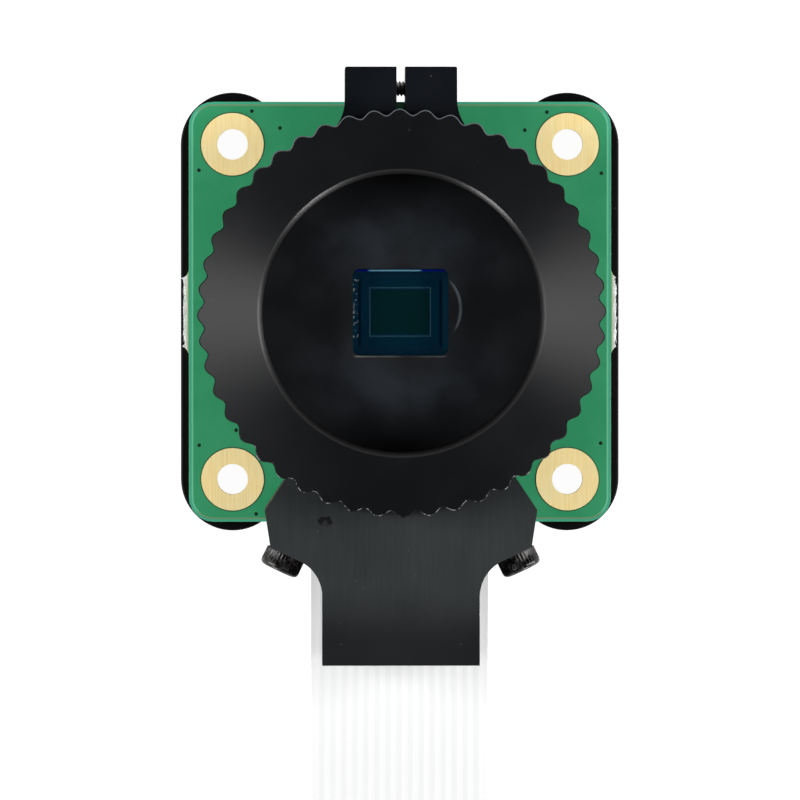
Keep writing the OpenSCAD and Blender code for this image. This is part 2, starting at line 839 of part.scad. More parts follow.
module chip_capacitors() {
    color([0.72, 0.6, 0.45]) {
        chips(small_cap_size, [0, small_cap_y], 6, [small_cap_pitch, 0]);
        chips(bulk_cap_size, [bulk_cap_x, regulator_y], 3, [0, regulator_pitch]);
        chips(bulk_cap_size, [-bulk_row_pitch / 2, bulk_row_y], 4, [bulk_row_pitch, 0]);
    }
}

module chip_resistors() {
    color([0.15, 0.15, 0.16]) chips(resistor_size, [0, resistor_y], 8, [resistor_pitch, 0]);
}

module chip_inductors() {
    color([0.35, 0.35, 0.36]) chips(inductor_size, inductor_place, 2, [0, inductor_pitch]);
}

circuit_board();
hole_pads();
image_sensor();
sensor_die();
sensor_lid();
housing_gasket();
lens_housing();
ir_cut_filter();
filter_adhesive();
back_focus_ring();
lock_screw();
tripod_mount();
tripod_mount_screws();
rear_cover();
housing_screws();
screw_washers();
ribbon_connector();
connector_latch();
connector_contacts();
connector_hold_downs();
ribbon_cable();
ribbon_stiffeners();
ribbon_contacts();
voltage_regulators();
clock_oscillator();
logic_chip();
chip_capacitors();
chip_resistors();
chip_inductors();
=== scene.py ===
"""Looks of the board camera module: finishes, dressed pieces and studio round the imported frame.

Lengths in the sub-assembly classes are millimetres in the frame of the part, and are turned to
metres where a mesh is made. Every finished piece's object sits at the origin.
"""

import logging
import math
from collections.abc import Callable, Sequence
from dataclasses import dataclass
from enum import Enum
from functools import lru_cache, reduce
from typing import Any

import bmesh
import bpy
from mathutils import Matrix, Vector


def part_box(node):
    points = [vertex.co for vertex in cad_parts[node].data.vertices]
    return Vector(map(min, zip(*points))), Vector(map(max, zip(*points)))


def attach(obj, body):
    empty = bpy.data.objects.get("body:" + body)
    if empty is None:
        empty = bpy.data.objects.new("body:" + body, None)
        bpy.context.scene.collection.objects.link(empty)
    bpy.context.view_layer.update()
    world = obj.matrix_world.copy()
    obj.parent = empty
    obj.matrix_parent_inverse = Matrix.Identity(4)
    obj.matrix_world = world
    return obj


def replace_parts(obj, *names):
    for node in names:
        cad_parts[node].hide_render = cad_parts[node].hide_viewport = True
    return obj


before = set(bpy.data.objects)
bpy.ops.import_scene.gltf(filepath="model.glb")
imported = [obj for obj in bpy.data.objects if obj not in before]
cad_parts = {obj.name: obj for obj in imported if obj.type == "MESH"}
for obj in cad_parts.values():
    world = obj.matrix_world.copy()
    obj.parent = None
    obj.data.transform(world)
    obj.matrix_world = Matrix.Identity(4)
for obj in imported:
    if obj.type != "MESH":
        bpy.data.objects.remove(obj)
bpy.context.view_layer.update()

LOG = logging.getLogger("camera_module")
MM = 0.001
QUARTER = math.pi / 2
Point = tuple[float, float, float]
Colour = tuple[float, float, float, float]
Socket = bpy.types.NodeSocket
Piece = bpy.types.Object


class Body(Enum):
    """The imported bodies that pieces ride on."""

    MODULE = "module"
    RING = "focus_ring"
    LATCH = "latch"


class Grain(Enum):
    """How a surface was worked, which sets its finest pattern."""

    TURNED = "turned"
    MILLED = "milled"
    BLASTED = "blasted"


def srgb(*levels: int) -> Colour:
    """A colour as it is seen, turned to the linear values that shaders take.

    Args:
        levels: Red, green and blue, from 0 to 255.

    Returns:
        The linear colour with full alpha.
    """
    shares = [level / 255 for level in levels]
    red, green, blue = (
        share / 12.92 if share <= 0.04045 else ((share + 0.055) / 1.055) ** 2.4
        for share in shares
    )
    return (red, green, blue, 1.0)


# ---------------------------------------------------------------------------- node graphs


class Graph:
    """A node tree that is being wired, of shader or geometry nodes."""

    def __init__(self, tree: bpy.types.NodeTree) -> None:
        """Keeps the tree to add nodes to."""
        self.tree = tree

    def link(self, value: Any, socket: Socket) -> None:
        """Links a socket to an input, or sets the input to a plain value.

        Args:
            value: The socket or plain value.
            socket: The input.
        """
        if isinstance(value, Socket):
            self.tree.links.new(value, socket)
        else:
            socket.default_value = value

    def add(
        self, kind: str, inputs: dict[int | str, Any] | None = None, **settings: Any
    ) -> bpy.types.Node:
        """Adds a node.

        Args:
            kind: The node's type name.
            inputs: Value or linked socket for each input, by number or name.
            settings: Properties of the node.

        Returns:
            The new node.
        """
        node = self.tree.nodes.new(kind)
        for name, value in settings.items():
            setattr(node, name, value)
        for key, value in (inputs or {}).items():
            self.link(value, node.inputs[key])
        return node

    def math(self, operation: str, *values: Any, clamp: bool = False) -> Socket:
        """The result of a Math node."""
        inputs = dict(enumerate(values))
        return self.add("ShaderNodeMath", inputs, operation=operation, use_clamp=clamp).outputs[0]

    def times(self, *values: Any) -> Socket:
        """The product of all the values."""
        return reduce(lambda a, b: self.math("MULTIPLY", a, b), values)

    def plus(self, *values: Any) -> Socket:
        """The sum of all the values."""
        return reduce(lambda a, b: self.math("ADD", a, b), values)

    def minus(self, value: Any, less: Any) -> Socket:
        """A value less another."""
        return self.math("SUBTRACT", value, less)

    def away(self, value: Any) -> Socket:
        """A value without its sign."""
        return self.math("ABSOLUTE", value)

    def most(self, first: Any, second: Any) -> Socket:
        """The larger of two values."""
        return self.math("MAXIMUM", first, second)

    def vector(self, operation: str, *values: Any, out: int = 0) -> Socket:
        """The result of a Vector Math node, or the number it gives where out is 1."""
        inputs = dict(enumerate(values))
        return self.add("ShaderNodeVectorMath", inputs, operation=operation).outputs[out]

    def parts(self, vector: Socket) -> Sequence[Socket]:
        """The three parts of a vector."""
        return self.add("ShaderNodeSeparateXYZ", {0: vector}).outputs

    def point(self, x: Any = 0.0, y: Any = 0.0, z: Any = 0.0) -> Socket:
        """A vector of three parts."""
        return self.add("ShaderNodeCombineXYZ", {0: x, 1: y, 2: z}).outputs[0]

    def flat(self, vector: Any, y: float = 1.0) -> Socket:
        """A vector without its Z part, and with its Y part scaled."""
        return self.vector("MULTIPLY", vector, (1.0, y, 0.0))

    def length(self, vector: Socket) -> Socket:
        """The length of a vector."""
        return self.vector("LENGTH", vector, out=1)

    def unit(self, vector: Socket) -> Socket:
        """A vector brought to a length of 1."""
        return self.vector("NORMALIZE", vector)

    def fade(self, value: Any, start: float, end: float) -> Socket:
        """A smooth step from 0 at start to 1 at end.

        Args:
            value: What is stepped.
            start: Value that gives 0.
            end: Value that gives 1.

        Returns:
            The step's socket.
        """
        inputs = {0: value, 1: start, 2: end, 3: 0.0, 4: 1.0}
        kind = "SMOOTHSTEP"
        return self.add("ShaderNodeMapRange", inputs, interpolation_type=kind).outputs[0]

    def scale_to(self, value: Any, low: float, high: float) -> Socket:
        """A 0 to 1 value stretched to run from low to high."""
        return self.add("ShaderNodeMapRange", {0: value, 3: low, 4: high}).outputs[0]

    def band(self, value: Any, centre: float, width: float) -> Socket:
        """A soft-edged band that is 1 at its centre and 0 at a width from there."""
        return self.fade(self.away(self.minus(value, centre)), width, width * 0.4)

    def blend(self, share: Any, first: Any, second: Any) -> Socket:
        """Two colours mixed by a share of the second."""
        inputs = {0: share, 6: first, 7: second}
        return self.add("ShaderNodeMix", inputs, data_type="RGBA").outputs[2]


class Group(Graph):
    """A node group with named sockets, built once and used many times."""

    def __init__(self, name: str, kind: str, inputs: dict[str, str], output: str) -> None:
        """Makes the group and its sockets.

        Args:
            name: The group's name.
            kind: The tree's kind, Shader or Geometry.
            inputs: Socket kind for each input's name.
            output: Socket kind of the output.
        """
        super().__init__(bpy.data.node_groups.new(name, f"{kind}NodeTree"))
        sockets = self.tree.interface
        for label, sort in inputs.items():
            sockets.new_socket(label, in_out="INPUT", socket_type=f"NodeSocket{sort}")
        sockets.new_socket(output, in_out="OUTPUT", socket_type=f"NodeSocket{output}")
        self.taken = self.tree.nodes.new("NodeGroupInput")
        self.given = self.tree.nodes.new("NodeGroupOutput")

    def get(self, name: str) -> Socket:
        """The socket that brings an input in."""
        return self.taken.outputs[name]

    def give(self, socket: Socket) -> bpy.types.NodeTree:
        """Wires the output and gives the finished group."""
        self.tree.links.new(socket, self.given.inputs[0])
        return self.tree


def pattern(name: str) -> Group:
    """Starts a shader group that gives a number from a place and a scale."""
    return Group(name, "Shader", {"Vector": "Vector", "Scale": "Float"}, "Float")


@lru_cache(maxsize=None)
def clouds_group() -> bpy.types.NodeTree:
    """Soft uneven clouds, for colour and gloss that vary over a surface.

    Returns:
        The node group.
    """
    group = pattern("Clouds")
    inputs = {"Vector": group.get("Vector"), "Scale": group.get("Scale"), "Detail": 5.0}
    noise = group.add("ShaderNodeTexNoise", inputs).outputs[0]
    return group.give(group.fade(noise, 0.35, 0.68))


@lru_cache(maxsize=None)
def specks_group() -> bpy.types.NodeTree:
    """Sparse fine specks, as dust or pits.

    Returns:
        The node group.
    """
    group = pattern("Specks")
    inputs = {"Vector": group.get("Vector"), "Scale": group.get("Scale"), "Randomness": 1.0}
    cells = group.add("ShaderNodeTexVoronoi", inputs).outputs
    chosen = group.add("ShaderNodeSeparateColor", {0: cells["Color"]}).outputs[0]
    rare = group.math("GREATER_THAN", chosen, 0.93)
    return group.give(group.times(rare, group.fade(cells["Distance"], 0.16, 0.06)))


@lru_cache(maxsize=None)
def grain_group(grain: Grain) -> bpy.types.NodeTree:
    """The finest pattern that a way of working leaves.

    Args:
        grain: How the surface was worked.

    Returns:
        The node group, which gives a height from 0 to 1.
    """
    group = pattern(f"Grain {grain.value}")
    place, scale = group.get("Vector"), group.get("Scale")
    inputs: dict[int | str, Any] = {"Vector": place, "Scale": scale, "Detail": 3.0}
    settings = {}
    if grain is Grain.TURNED:
        x, y, z = group.parts(place)
        radius = group.length(group.point(x, y))
        inputs = {"W": group.plus(radius, group.times(z, 0.7)), "Scale": scale, "Detail": 3.0}
        settings = {"noise_dimensions": "1D"}
    elif grain is Grain.MILLED:
        inputs["Vector"] = group.vector("MULTIPLY", place, (1.0, 0.03, 1.0))
    else:
        inputs["Detail"] = 2.0
    return group.give(group.add("ShaderNodeTexNoise", inputs, **settings).outputs[0])


class Material(Graph):
    """A material that is being made, with one Principled shader."""

    def __init__(self, name: str) -> None:
        """Starts an empty material.

        Args:
            name: The material's name.
        """
        self.data = bpy.data.materials.new(name)
        self.data.use_nodes = True
        super().__init__(self.data.node_tree)
        self.shader = self.tree.nodes["Principled BSDF"]
        self.place = self.add("ShaderNodeTexCoord").outputs["Object"]

    def set(self, **sockets: Any) -> None:
        """Sets or links sockets of the shader, by name with underscores for blanks."""
        for name, value in sockets.items():
            self.link(value, self.shader.inputs[name.replace("_", " ")])

    def bump(self, height: Socket, strength: float, depth: float) -> None:
        """Gives the surface relief of a height from 0 to 1, its depth in metres."""
        inputs = {"Height": height, "Strength": strength, "Distance": depth}
        self.set(Normal=self.add("ShaderNodeBump", inputs).outputs[0])

    def pattern(self, tree: bpy.types.NodeTree, scale: float) -> Socket:
        """The value of a pattern group over the surface."""
        inputs = {"Vector": self.place, "Scale": scale}
        return self.add("ShaderNodeGroup", inputs, node_tree=tree).outputs[0]

    def clouds(self, scale: float) -> Socket:
        """Soft uneven clouds over the surface."""
        return self.pattern(clouds_group(), scale)

    def noise(self, scale: float, detail: float = 2.0, y: float = 1.0) -> Socket:
        """Plain noise over the surface.

        Args:
            scale: The noise's scale.
            detail: How many finer layers it has.
            y: Its scale along Y, less than 1 where it is drawn out.

        Returns:
            The noise's socket.
        """
        place = self.place if y == 1.0 else self.vector("MULTIPLY", self.place, (1.0, y, 1.0))
        inputs = {"Vector": place, "Scale": scale, "Detail": detail}
        return self.add("ShaderNodeTexNoise", inputs).outputs[0]


# ------------------------------------------------------------------------------- finishes


@dataclass(frozen=True)
class Surface:
    """A plain finish: two close colours in clouds, a worked grain, and a share of dust."""

    name: str
    colour: Colour
    shade: Colour
    roughness: float = 0.45
    roughness_spread: float = 0.1
    metallic: float = 0.0
    specular: float = 0.5
    grain: Grain = Grain.BLASTED
    grain_scale: float = 9000.0
    grain_strength: float = 0.25
    anisotropic: float = 0.0
    cloud_scale: float = 120.0
    streaks: float = 0.0
    dust: float = 0.0
    dust_colour: Colour = (0.35, 0.35, 0.35, 1.0)
    # A tone blended in along Y, which the finishes use as painted shade and as a painted highlight.
    end: Colour | None = None
    end_from: float = 0.0
    end_to: float = 0.0
    mark: tuple[float, float, float] | None = None
    mark_colour: Colour = srgb(8, 8, 9)
    # Broken paler bits that are painted highlights and painted reflections.
    painted_glint: Colour | None = None
    worn_scale: float = 1500.0
    painted_glint_from: float = 0.0

    def material(self) -> bpy.types.Material:
        """Builds the material.

        Returns:
            The material.
        """
        made = Material(self.name)
        clouds = made.clouds(self.cloud_scale)
        grain = made.pattern(grain_group(self.grain), self.grain_scale)
        share = clouds
        if self.streaks:
            lines = made.times(made.fade(grain, 0.3, 0.7), self.streaks)
            share = made.plus(lines, made.times(share, 1 - self.streaks))
        colour = made.blend(share, self.colour, self.shade)
        # A tone blended in along Y: painted shade on the mount's foot and a painted highlight on
        # the ring's edge.
        if self.end:
            y = made.parts(made.place)[1]
            share = made.fade(y, self.end_from * MM, self.end_to * MM)
            colour = made.blend(share, colour, self.end)
        if self.mark:
            colour = made.blend(self.mark_mask(made), colour, self.mark_colour)
        # Painted highlights and reflections: broken paler bits, kept to the lower part where a
        # start on Y is given.
        if self.painted_glint:
            bits = made.fade(made.noise(self.worn_scale), 0.5, 0.62)
            if self.painted_glint_from:
                y, start = made.parts(made.place)[1], -self.painted_glint_from * MM
                bits = made.times(bits, made.fade(y, start, start - 3 * MM))
            colour = made.blend(bits, colour, self.painted_glint)
        if self.dust:
            share = made.times(made.pattern(specks_group(), 1500.0), self.dust)
            colour = made.blend(share, colour, self.dust_colour)
        half = self.roughness_spread / 2
        made.set(
            Base_Color=colour,
            Roughness=made.scale_to(clouds, self.roughness - half, self.roughness + half),
            Metallic=self.metallic,
            Specular_IOR_Level=self.specular,
        )
        if self.anisotropic:
            made.set(Anisotropic=self.anisotropic, Tangent=self.stroke(made))
        made.bump(grain, self.grain_strength, 0.00001)
        return made.data

    def mark_mask(self, made: Material) -> Socket:
        """A small ragged mark on the face, given by its middle and half width.

        Args:
            made: The material being made.

        Returns:
            The mark's mask.
        """
        x, y, radius = self.mark or (0.0, 0.0, 1.0)
        ragged = made.times(made.minus(made.noise(2600.0, 3.0), 0.5), 1.6 * radius * MM)

        def reach(down: float, squash: float) -> Socket:
            """Wandering distance from a point below the mark's middle."""
            away = made.vector("SUBTRACT", made.place, (x * MM, (y - down) * MM, 0.0))
            return made.plus(made.length(made.flat(away, squash)), ragged)

        whole = made.fade(reach(0.0, 1.45), 1.0 * radius * MM, 0.8 * radius * MM)
        hollow = made.fade(reach(0.3 * radius, 1.2), 0.5 * radius * MM, 0.25 * radius * MM)
        return made.times(whole, made.scale_to(hollow, 1.0, 0.25))

    def stroke(self, made: Material) -> Socket:
        """The direction across the tool's strokes, in which highlights spread.

        Args:
            made: The material being made.

        Returns:
            The direction's socket.
        """
        if self.grain is Grain.TURNED:
            return made.unit(made.flat(made.place))
        return made.point(1.0)


@dataclass(frozen=True)
class SolderMask:
    """Green mask on the board: a copper pour with a lighter rim, and pads left open."""

    board_w: float
    board_h: float
    corner_r: float
    hole_xy: float
    pad_r: float
    name: str = "solder_mask"
    copper: Colour = srgb(46, 149, 99)
    cloud: Colour = srgb(55, 156, 106)
    rim: Colour = srgb(66, 172, 134)
    line: Colour = srgb(104, 192, 152)
    end_line: Colour = srgb(112, 148, 108)
    gap: Colour = srgb(36, 84, 58)
    resin: Colour = srgb(178, 200, 130)
    core: Colour = srgb(206, 214, 206)
    fibre: Colour = srgb(244, 245, 244)
    routed: Colour = srgb(96, 98, 60)
    shaded: Colour = srgb(112, 114, 104)

    def material(self) -> bpy.types.Material:
        """Builds the material.

        Returns:
            The material.
        """
        made = Material(self.name)
        x, y, _ = made.parts(made.place)
        away_x, away_y = made.away(x), made.away(y)
        inset = self.inset(made, away_x, away_y)
        normal = made.add("ShaderNodeTexCoord").outputs["Normal"]
        cut = made.fade(made.away(made.parts(normal)[2]), 0.6, 0.3)
        streaks = made.noise(9000.0, 3.0, 0.12)

        colour = made.blend(made.clouds(260.0), self.copper, self.cloud)
        colour = made.blend(made.fade(inset, 0.33 * MM, 0.26 * MM), colour, self.rim)
        end = made.fade(away_y, (self.board_h / 2 - 1.2) * MM, (self.board_h / 2 - 0.6) * MM)
        line = made.blend(end, self.line, self.end_line)
        colour = made.blend(made.band(inset, 0.3 * MM, 0.1 * MM), colour, line)
        hole = self.hole_xy * MM
        from_hole = made.length(made.point(made.minus(away_x, hole), made.minus(away_y, hole)))
        opening = made.fade(from_hole, (self.pad_r + 0.14) * MM, (self.pad_r + 0.05) * MM)
        colour = made.blend(opening, colour, self.gap)

        out = made.minus(away_x, self.board_w / 2 * MM)
        torn = made.fade(out, -0.04 * MM, 0.12 * MM)
        bundle = made.blend(made.fade(streaks, 0.4, 0.62), self.core, self.fibre)
        bundle = made.blend(made.fade(out, 0.26 * MM, 0.06 * MM), bundle, self.resin)
        colour = made.blend(torn, colour, bundle)
        bundle = made.blend(made.times(cut, 0.55), bundle, self.shaded)
        bundle = made.blend(torn, self.routed, bundle)
        colour = made.blend(made.times(cut, 0.85), colour, bundle)
        made.set(
            Base_Color=colour,
            Roughness=made.scale_to(made.most(torn, cut), 0.42, 0.85),
            Specular_IOR_Level=0.35,
        )
        rough = made.times(streaks, torn, 6.0)
        step = made.times(made.fade(inset, 0.3 * MM, 0.42 * MM), 2.0)
        made.bump(made.plus(made.noise(900.0), rough, step), 0.25, 0.00002)
        return made.data

    def inset(self, made: Material, away_x: Socket, away_y: Socket) -> Socket:
        """Distance in from the board's rounded outline.

        Args:
            made: The material being made.
            away_x: Distance from the board's middle along X.
            away_y: Distance from the board's middle along Y.

        Returns:
            The distance's socket, in metres.
        """
        over_x = made.minus(away_x, (self.board_w / 2 - self.corner_r) * MM)
        over_y = made.minus(away_y, (self.board_h / 2 - self.corner_r) * MM)
        outside = made.length(made.point(made.most(over_x, 0.0), made.most(over_y, 0.0)))
        inside = made.math("MINIMUM", made.most(over_x, over_y), 0.0)
        return made.minus(self.corner_r * MM, made.plus(outside, inside))


@dataclass(frozen=True)
class HousingFloor:
    """The turned floor inside the housing, with a painted sheen and a pale smear of adhesive."""

    aperture_w: float
    aperture_h: float
    name: str = "housing_floor"
    smear_at: Point = (1.6, 0.3, 0.0)
    smear_r: float = 3.75
    colour: Colour = srgb(12, 14, 18)
    painted_sheen: Colour = srgb(45, 51, 59)
    lip: Colour = srgb(120, 120, 112)
    smear: Colour = srgb(112, 120, 126)

    def material(self) -> bpy.types.Material:
        """Builds the material.

        Returns:
            The material.
        """
        made = Material(self.name)
        clouds = made.clouds(190.0)
        rings = made.pattern(grain_group(Grain.TURNED), 4000.0)
        x, y, _ = made.parts(made.place)
        flat = made.flat(made.place)
        reach = made.length(flat)
        # Painted sheen: pale lobes above and below the middle that stand in for the turned floor's
        # reflection, broken by clouds and rings.
        lobes = made.fade(made.away(made.parts(made.unit(flat))[1]), 0.0, 1.0)
        painted_sheen = made.times(
            lobes,
            made.fade(reach, 12.5 * MM, 8 * MM),
            made.scale_to(made.fade(reach, 2 * MM, 8 * MM), 0.5, 1.0),
            made.scale_to(clouds, 0.35, 1.0),
            made.scale_to(rings, 0.75, 1.1),
        )
        colour = made.blend(painted_sheen, self.colour, self.painted_sheen)
        half_w = self.aperture_w / 2
        lip = made.times(
            made.band(y, -(self.aperture_h / 2 + 0.06) * MM, 0.1 * MM),
            made.fade(made.away(x), half_w * MM, (half_w - 0.4) * MM),
            clouds,
        )
        colour = made.blend(lip, colour, self.lip)
        colour = made.blend(self.smear_mask(made), colour, self.smear)
        roughness = made.scale_to(clouds, 0.42, 0.55)
        made.set(Base_Color=colour, Roughness=roughness, Specular_IOR_Level=0.3)
        made.bump(rings, 0.3, 0.00001)
        return made.data

    def smear_mask(self, made: Material) -> Socket:
        """A thin arc of smeared adhesive, widest in its middle.

        Args:
            made: The material being made.

        Returns:
            The arc's mask.
        """
        middle = [c * MM for c in self.smear_at]
        flat = made.flat(made.vector("SUBTRACT", made.place, middle))
        x, y, _ = made.parts(flat)
        taper = made.band(y, 0.3 * MM, 2.7 * MM)
        off = made.away(made.minus(made.length(flat), self.smear_r * MM))
        share = made.math("DIVIDE", off, made.times(made.scale_to(taper, 0.05, 0.2), MM))
        arc = made.times(made.fade(share, 1.0, 0.1), made.fade(x, 0.0, 1.0 * MM))
        arc = made.times(arc, made.fade(taper, 0.0, 0.5))
        return made.times(arc, made.scale_to(made.noise(900.0), 0.3, 0.9))


@dataclass(frozen=True)
class Die:
    """The sensor's silicon: a dark green light-sensitive area in a pale frame line."""

    area_w: float = 5.19
    area_h: float = 3.9
    frame_w: float = 5.42
    frame_h: float = 4.33
    name: str = "silicon"
    pixels: Colour = srgb(5, 100, 74)
    margin: Colour = srgb(12, 112, 146)
    line: Colour = srgb(140, 220, 240)

    def material(self) -> bpy.types.Material:
        """Builds the material.

        Returns:
            The material.
        """
        made = Material(self.name)
        x, y, _ = made.parts(made.place)

        def outside(width: float, height: float) -> Socket:
            """Distance out from a centred rectangle's sides."""
            over_x = made.minus(made.away(x), width / 2 * MM)
            return made.most(over_x, made.minus(made.away(y), height / 2 * MM))

        area = made.fade(outside(self.area_w, self.area_h), 0.02 * MM, -0.02 * MM)
        frame_line = made.band(outside(self.frame_w, self.frame_h), 0.0, 0.07 * MM)
        colour = made.blend(area, self.margin, self.pixels)
        colour = made.blend(frame_line, colour, self.line)
        inputs = {"Vector": made.place, "Scale": 6000.0}
        rows = made.add("ShaderNodeTexWave", inputs, wave_type="BANDS").outputs[1]
        roughness = made.scale_to(rows, 0.25, 0.32)
        made.set(Base_Color=colour, Roughness=roughness, Specular_IOR_Level=0.3)
        return made.data


@dataclass(frozen=True)
class Glass:
    """A thin clear plate that lets a share of what lies under it through, with a painted reflection
    along one rim where it has one.
    """

    name: str
    colour: Colour
    alpha: float
    rim: Colour | None = None
    rim_y: float = 0.0
    glint: Colour = srgb(120, 190, 215)

    def material(self) -> bpy.types.Material:
        """Builds the material.

        Returns:
            The material.
        """
        made = Material(self.name)
        deeper = tuple(c * 0.8 for c in self.colour[:3]) + (1.0,)
        colour = made.blend(made.clouds(300.0), self.colour, deeper)
        alpha: Any = self.alpha
        # Painted reflection: a blue line along the rim with a cyan glint in its middle, made
        # opaque.
        if self.rim:
            x, y, _ = made.parts(made.place)
            edge = made.band(y, self.rim_y * MM, 0.1 * MM)
            away = made.away(made.plus(x, 0.5 * MM))
            lit = made.times(edge, made.fade(away, 2.5 * MM, 2.1 * MM))
            colour = made.blend(lit, made.blend(edge, colour, self.rim), self.glint)
            alpha = made.most(edge, self.alpha)
        made.set(Base_Color=colour, Roughness=0.06, Specular_IOR_Level=0.3, Alpha=alpha)
        return made.data


@dataclass(frozen=True)
class RibbonFilm:
    """White film over flat conductors, which show as faint grey stripes."""

    ways: int
    pitch: float
    name: str = "ribbon_film"
    white: Colour = srgb(221, 221, 221)
    stripe: Colour = srgb(214, 216, 215)

    def material(self) -> bpy.types.Material:
        """Builds the material.

        Returns:
            The material.
        """
        made = Material(self.name)
        x = made.parts(made.place)[0]
        phase = made.times(x, 2 * math.pi / (self.pitch * MM))
        edge = self.ways * self.pitch / 2
        within = made.fade(made.away(x), edge * MM, (edge - 0.1) * MM)
        over = made.times(made.fade(made.math("COSINE", phase), -0.15, 0.35), within)
        clouds = made.clouds(90.0)
        share = made.times(over, made.scale_to(clouds, 0.75, 1.0))
        made.set(
            Base_Color=made.blend(share, self.white, self.stripe),
            Roughness=made.scale_to(clouds, 0.32, 0.42),
            Specular_IOR_Level=0.4,
        )
        made.bump(over, 0.4, 0.00002)
        return made.data


@dataclass(frozen=True)
class Finishes:
    """Every plain finish of the module, by the record's name for it where it has one."""

    ring: Surface = Surface(
        "turned_black", srgb(6, 7, 10), srgb(9, 10, 13), 0.5, specular=0.42,
        grain=Grain.TURNED, grain_scale=5000, grain_strength=0.3, anisotropic=0.86, dust=0.08,
    )
    # The ring's edge is black with painted highlights: broken pale bits towards the bottom and a
    # grey tone towards the top.
    ring_edge: Surface = Surface(
        "worn_edge", srgb(4, 4, 5), srgb(6, 7, 8), 0.5, specular=0.06, cloud_scale=420,
        painted_glint=srgb(98, 100, 102), worn_scale=2200, painted_glint_from=10.0,
        end=srgb(84, 88, 92), end_from=10.5, end_to=15.0,
    )
    grip: Surface = Surface(
        "grip_black", srgb(7, 8, 11), srgb(10, 11, 14), 0.42, specular=0.16, dust=0.08
    )
    thread: Surface = Surface(
        "cut_thread", srgb(4, 4, 5), srgb(7, 7, 8), 0.34, specular=0.42,
        cloud_scale=150, roughness_spread=0.04,
    )
    housing: Surface = Surface(
        "black_anodised", srgb(8, 11, 15), srgb(12, 15, 20), 0.38, specular=0.1,
        grain_scale=14000, dust=0.12,
    )
    # The end colour is painted shade that darkens the foot towards its bottom end; the mark is a
    # small ragged dent.
    mount: Surface = Surface(
        "dark_anodised", srgb(35, 38, 39), srgb(42, 45, 46), specular=0.12,
        grain=Grain.MILLED, grain_scale=8500, grain_strength=0.5, anisotropic=0.5, dust=0.08,
        streaks=0.5, end=srgb(16, 18, 20), end_from=-23.5, end_to=-29.5,
        mark=(-6.75, -18.5, 0.66),
    )
    cover: Surface = Surface(
        "cover_anodised", srgb(8, 8, 9), srgb(11, 11, 12), specular=0.08,
        grain_scale=14000, dust=0.1,
    )
    edge: Surface = Surface(
        "rubbed_edge", srgb(14, 15, 18), srgb(24, 25, 28), 0.42, specular=0.2, cloud_scale=500
    )
    # The black steel's paler brown blotches are painted reflections.
    black_steel: Surface = Surface(
        "black_steel", srgb(4, 4, 4), srgb(9, 8, 8), 0.3, specular=0.3, cloud_scale=1300,
        roughness_spread=0.3, grain_scale=2600, grain_strength=1.0,
        painted_glint=srgb(58, 54, 52), worn_scale=2300,
    )
    bright_steel: Surface = Surface(
        "bright_steel", srgb(180, 178, 174), srgb(120, 118, 114), 0.3, metallic=1.0,
        cloud_scale=900,
    )
    gold: Surface = Surface(
        "gold_plating", srgb(255, 237, 177), srgb(246, 218, 146), 0.5, metallic=0.4,
        grain=Grain.MILLED, grain_scale=8800, grain_strength=0.9, anisotropic=0.6,
        cloud_scale=300, streaks=0.6,
    )
    # The ceramic is lightened to the die margin's colour: painted light that offsets the shade of
    # the aperture's walls.
    ceramic: Surface = Surface("sensor_ceramic", srgb(16, 112, 146), srgb(20, 120, 152))
    lock_steel: Surface = Surface(
        "lock_steel", srgb(226, 224, 220), srgb(120, 118, 116), 0.34, metallic=0.6,
        cloud_scale=900,
    )
    rubber: Surface = Surface("gasket_rubber", srgb(16, 16, 16), srgb(22, 22, 22), 0.8)
    adhesive: Surface = Surface(
        "dried_adhesive", srgb(206, 212, 208), srgb(168, 180, 180), 0.35,
        grain_scale=4000, grain_strength=0.8,
    )
    connector: Surface = Surface(
        "connector_plastic", srgb(233, 229, 214), srgb(224, 219, 202), 0.5
    )
    latch: Surface = Surface("latch_plastic", srgb(58, 44, 34), srgb(50, 38, 30))
    tin: Surface = Surface(
        "tinned_contact", srgb(206, 202, 190), srgb(184, 180, 168), 0.35, metallic=0.5
    )
    stiffener: Surface = Surface(
        "stiffener_film", srgb(212, 224, 238), srgb(206, 218, 234), 0.35
    )
    chip: Surface = Surface("chip_plastic", srgb(28, 28, 29), srgb(34, 34, 35), 0.6)
    can: Surface = Surface(
        "oscillator_can", srgb(196, 196, 198), srgb(176, 176, 178), 0.3, metallic=0.9,
        grain=Grain.MILLED,
    )
    capacitor: Surface = Surface("chip_ceramic", srgb(184, 152, 116), srgb(172, 140, 104))
    inductor: Surface = Surface("inductor_ferrite", srgb(92, 92, 94), srgb(80, 80, 82))
    via: Surface = Surface(
        "tented_via", srgb(8, 34, 24), srgb(16, 54, 38), specular=0.2, cloud_scale=2500
    )
    fibre: Surface = Surface(
        "glass_fibre", srgb(240, 242, 242), srgb(206, 214, 212), 0.6, cloud_scale=900
    )


# ---------------------------------------------------------------------------------- meshes


def plain_mesh(
    name: str, points: Sequence[Sequence[float]], faces: Sequence[Sequence[int]]
) -> Piece:
    """Makes an object from points in millimetres, at the origin.

    Args:
        name: The object's name.
        points: Its points, in millimetres.
        faces: Its faces, by point numbers.

    Returns:
        The object, which is in the scene.
    """
    mesh = bpy.data.meshes.new(name)
    mesh.from_pydata([[c * MM for c in p] for p in points], [], faces)
    piece = bpy.data.objects.new(name, mesh)
    bpy.context.scene.collection.objects.link(piece)
    return piece


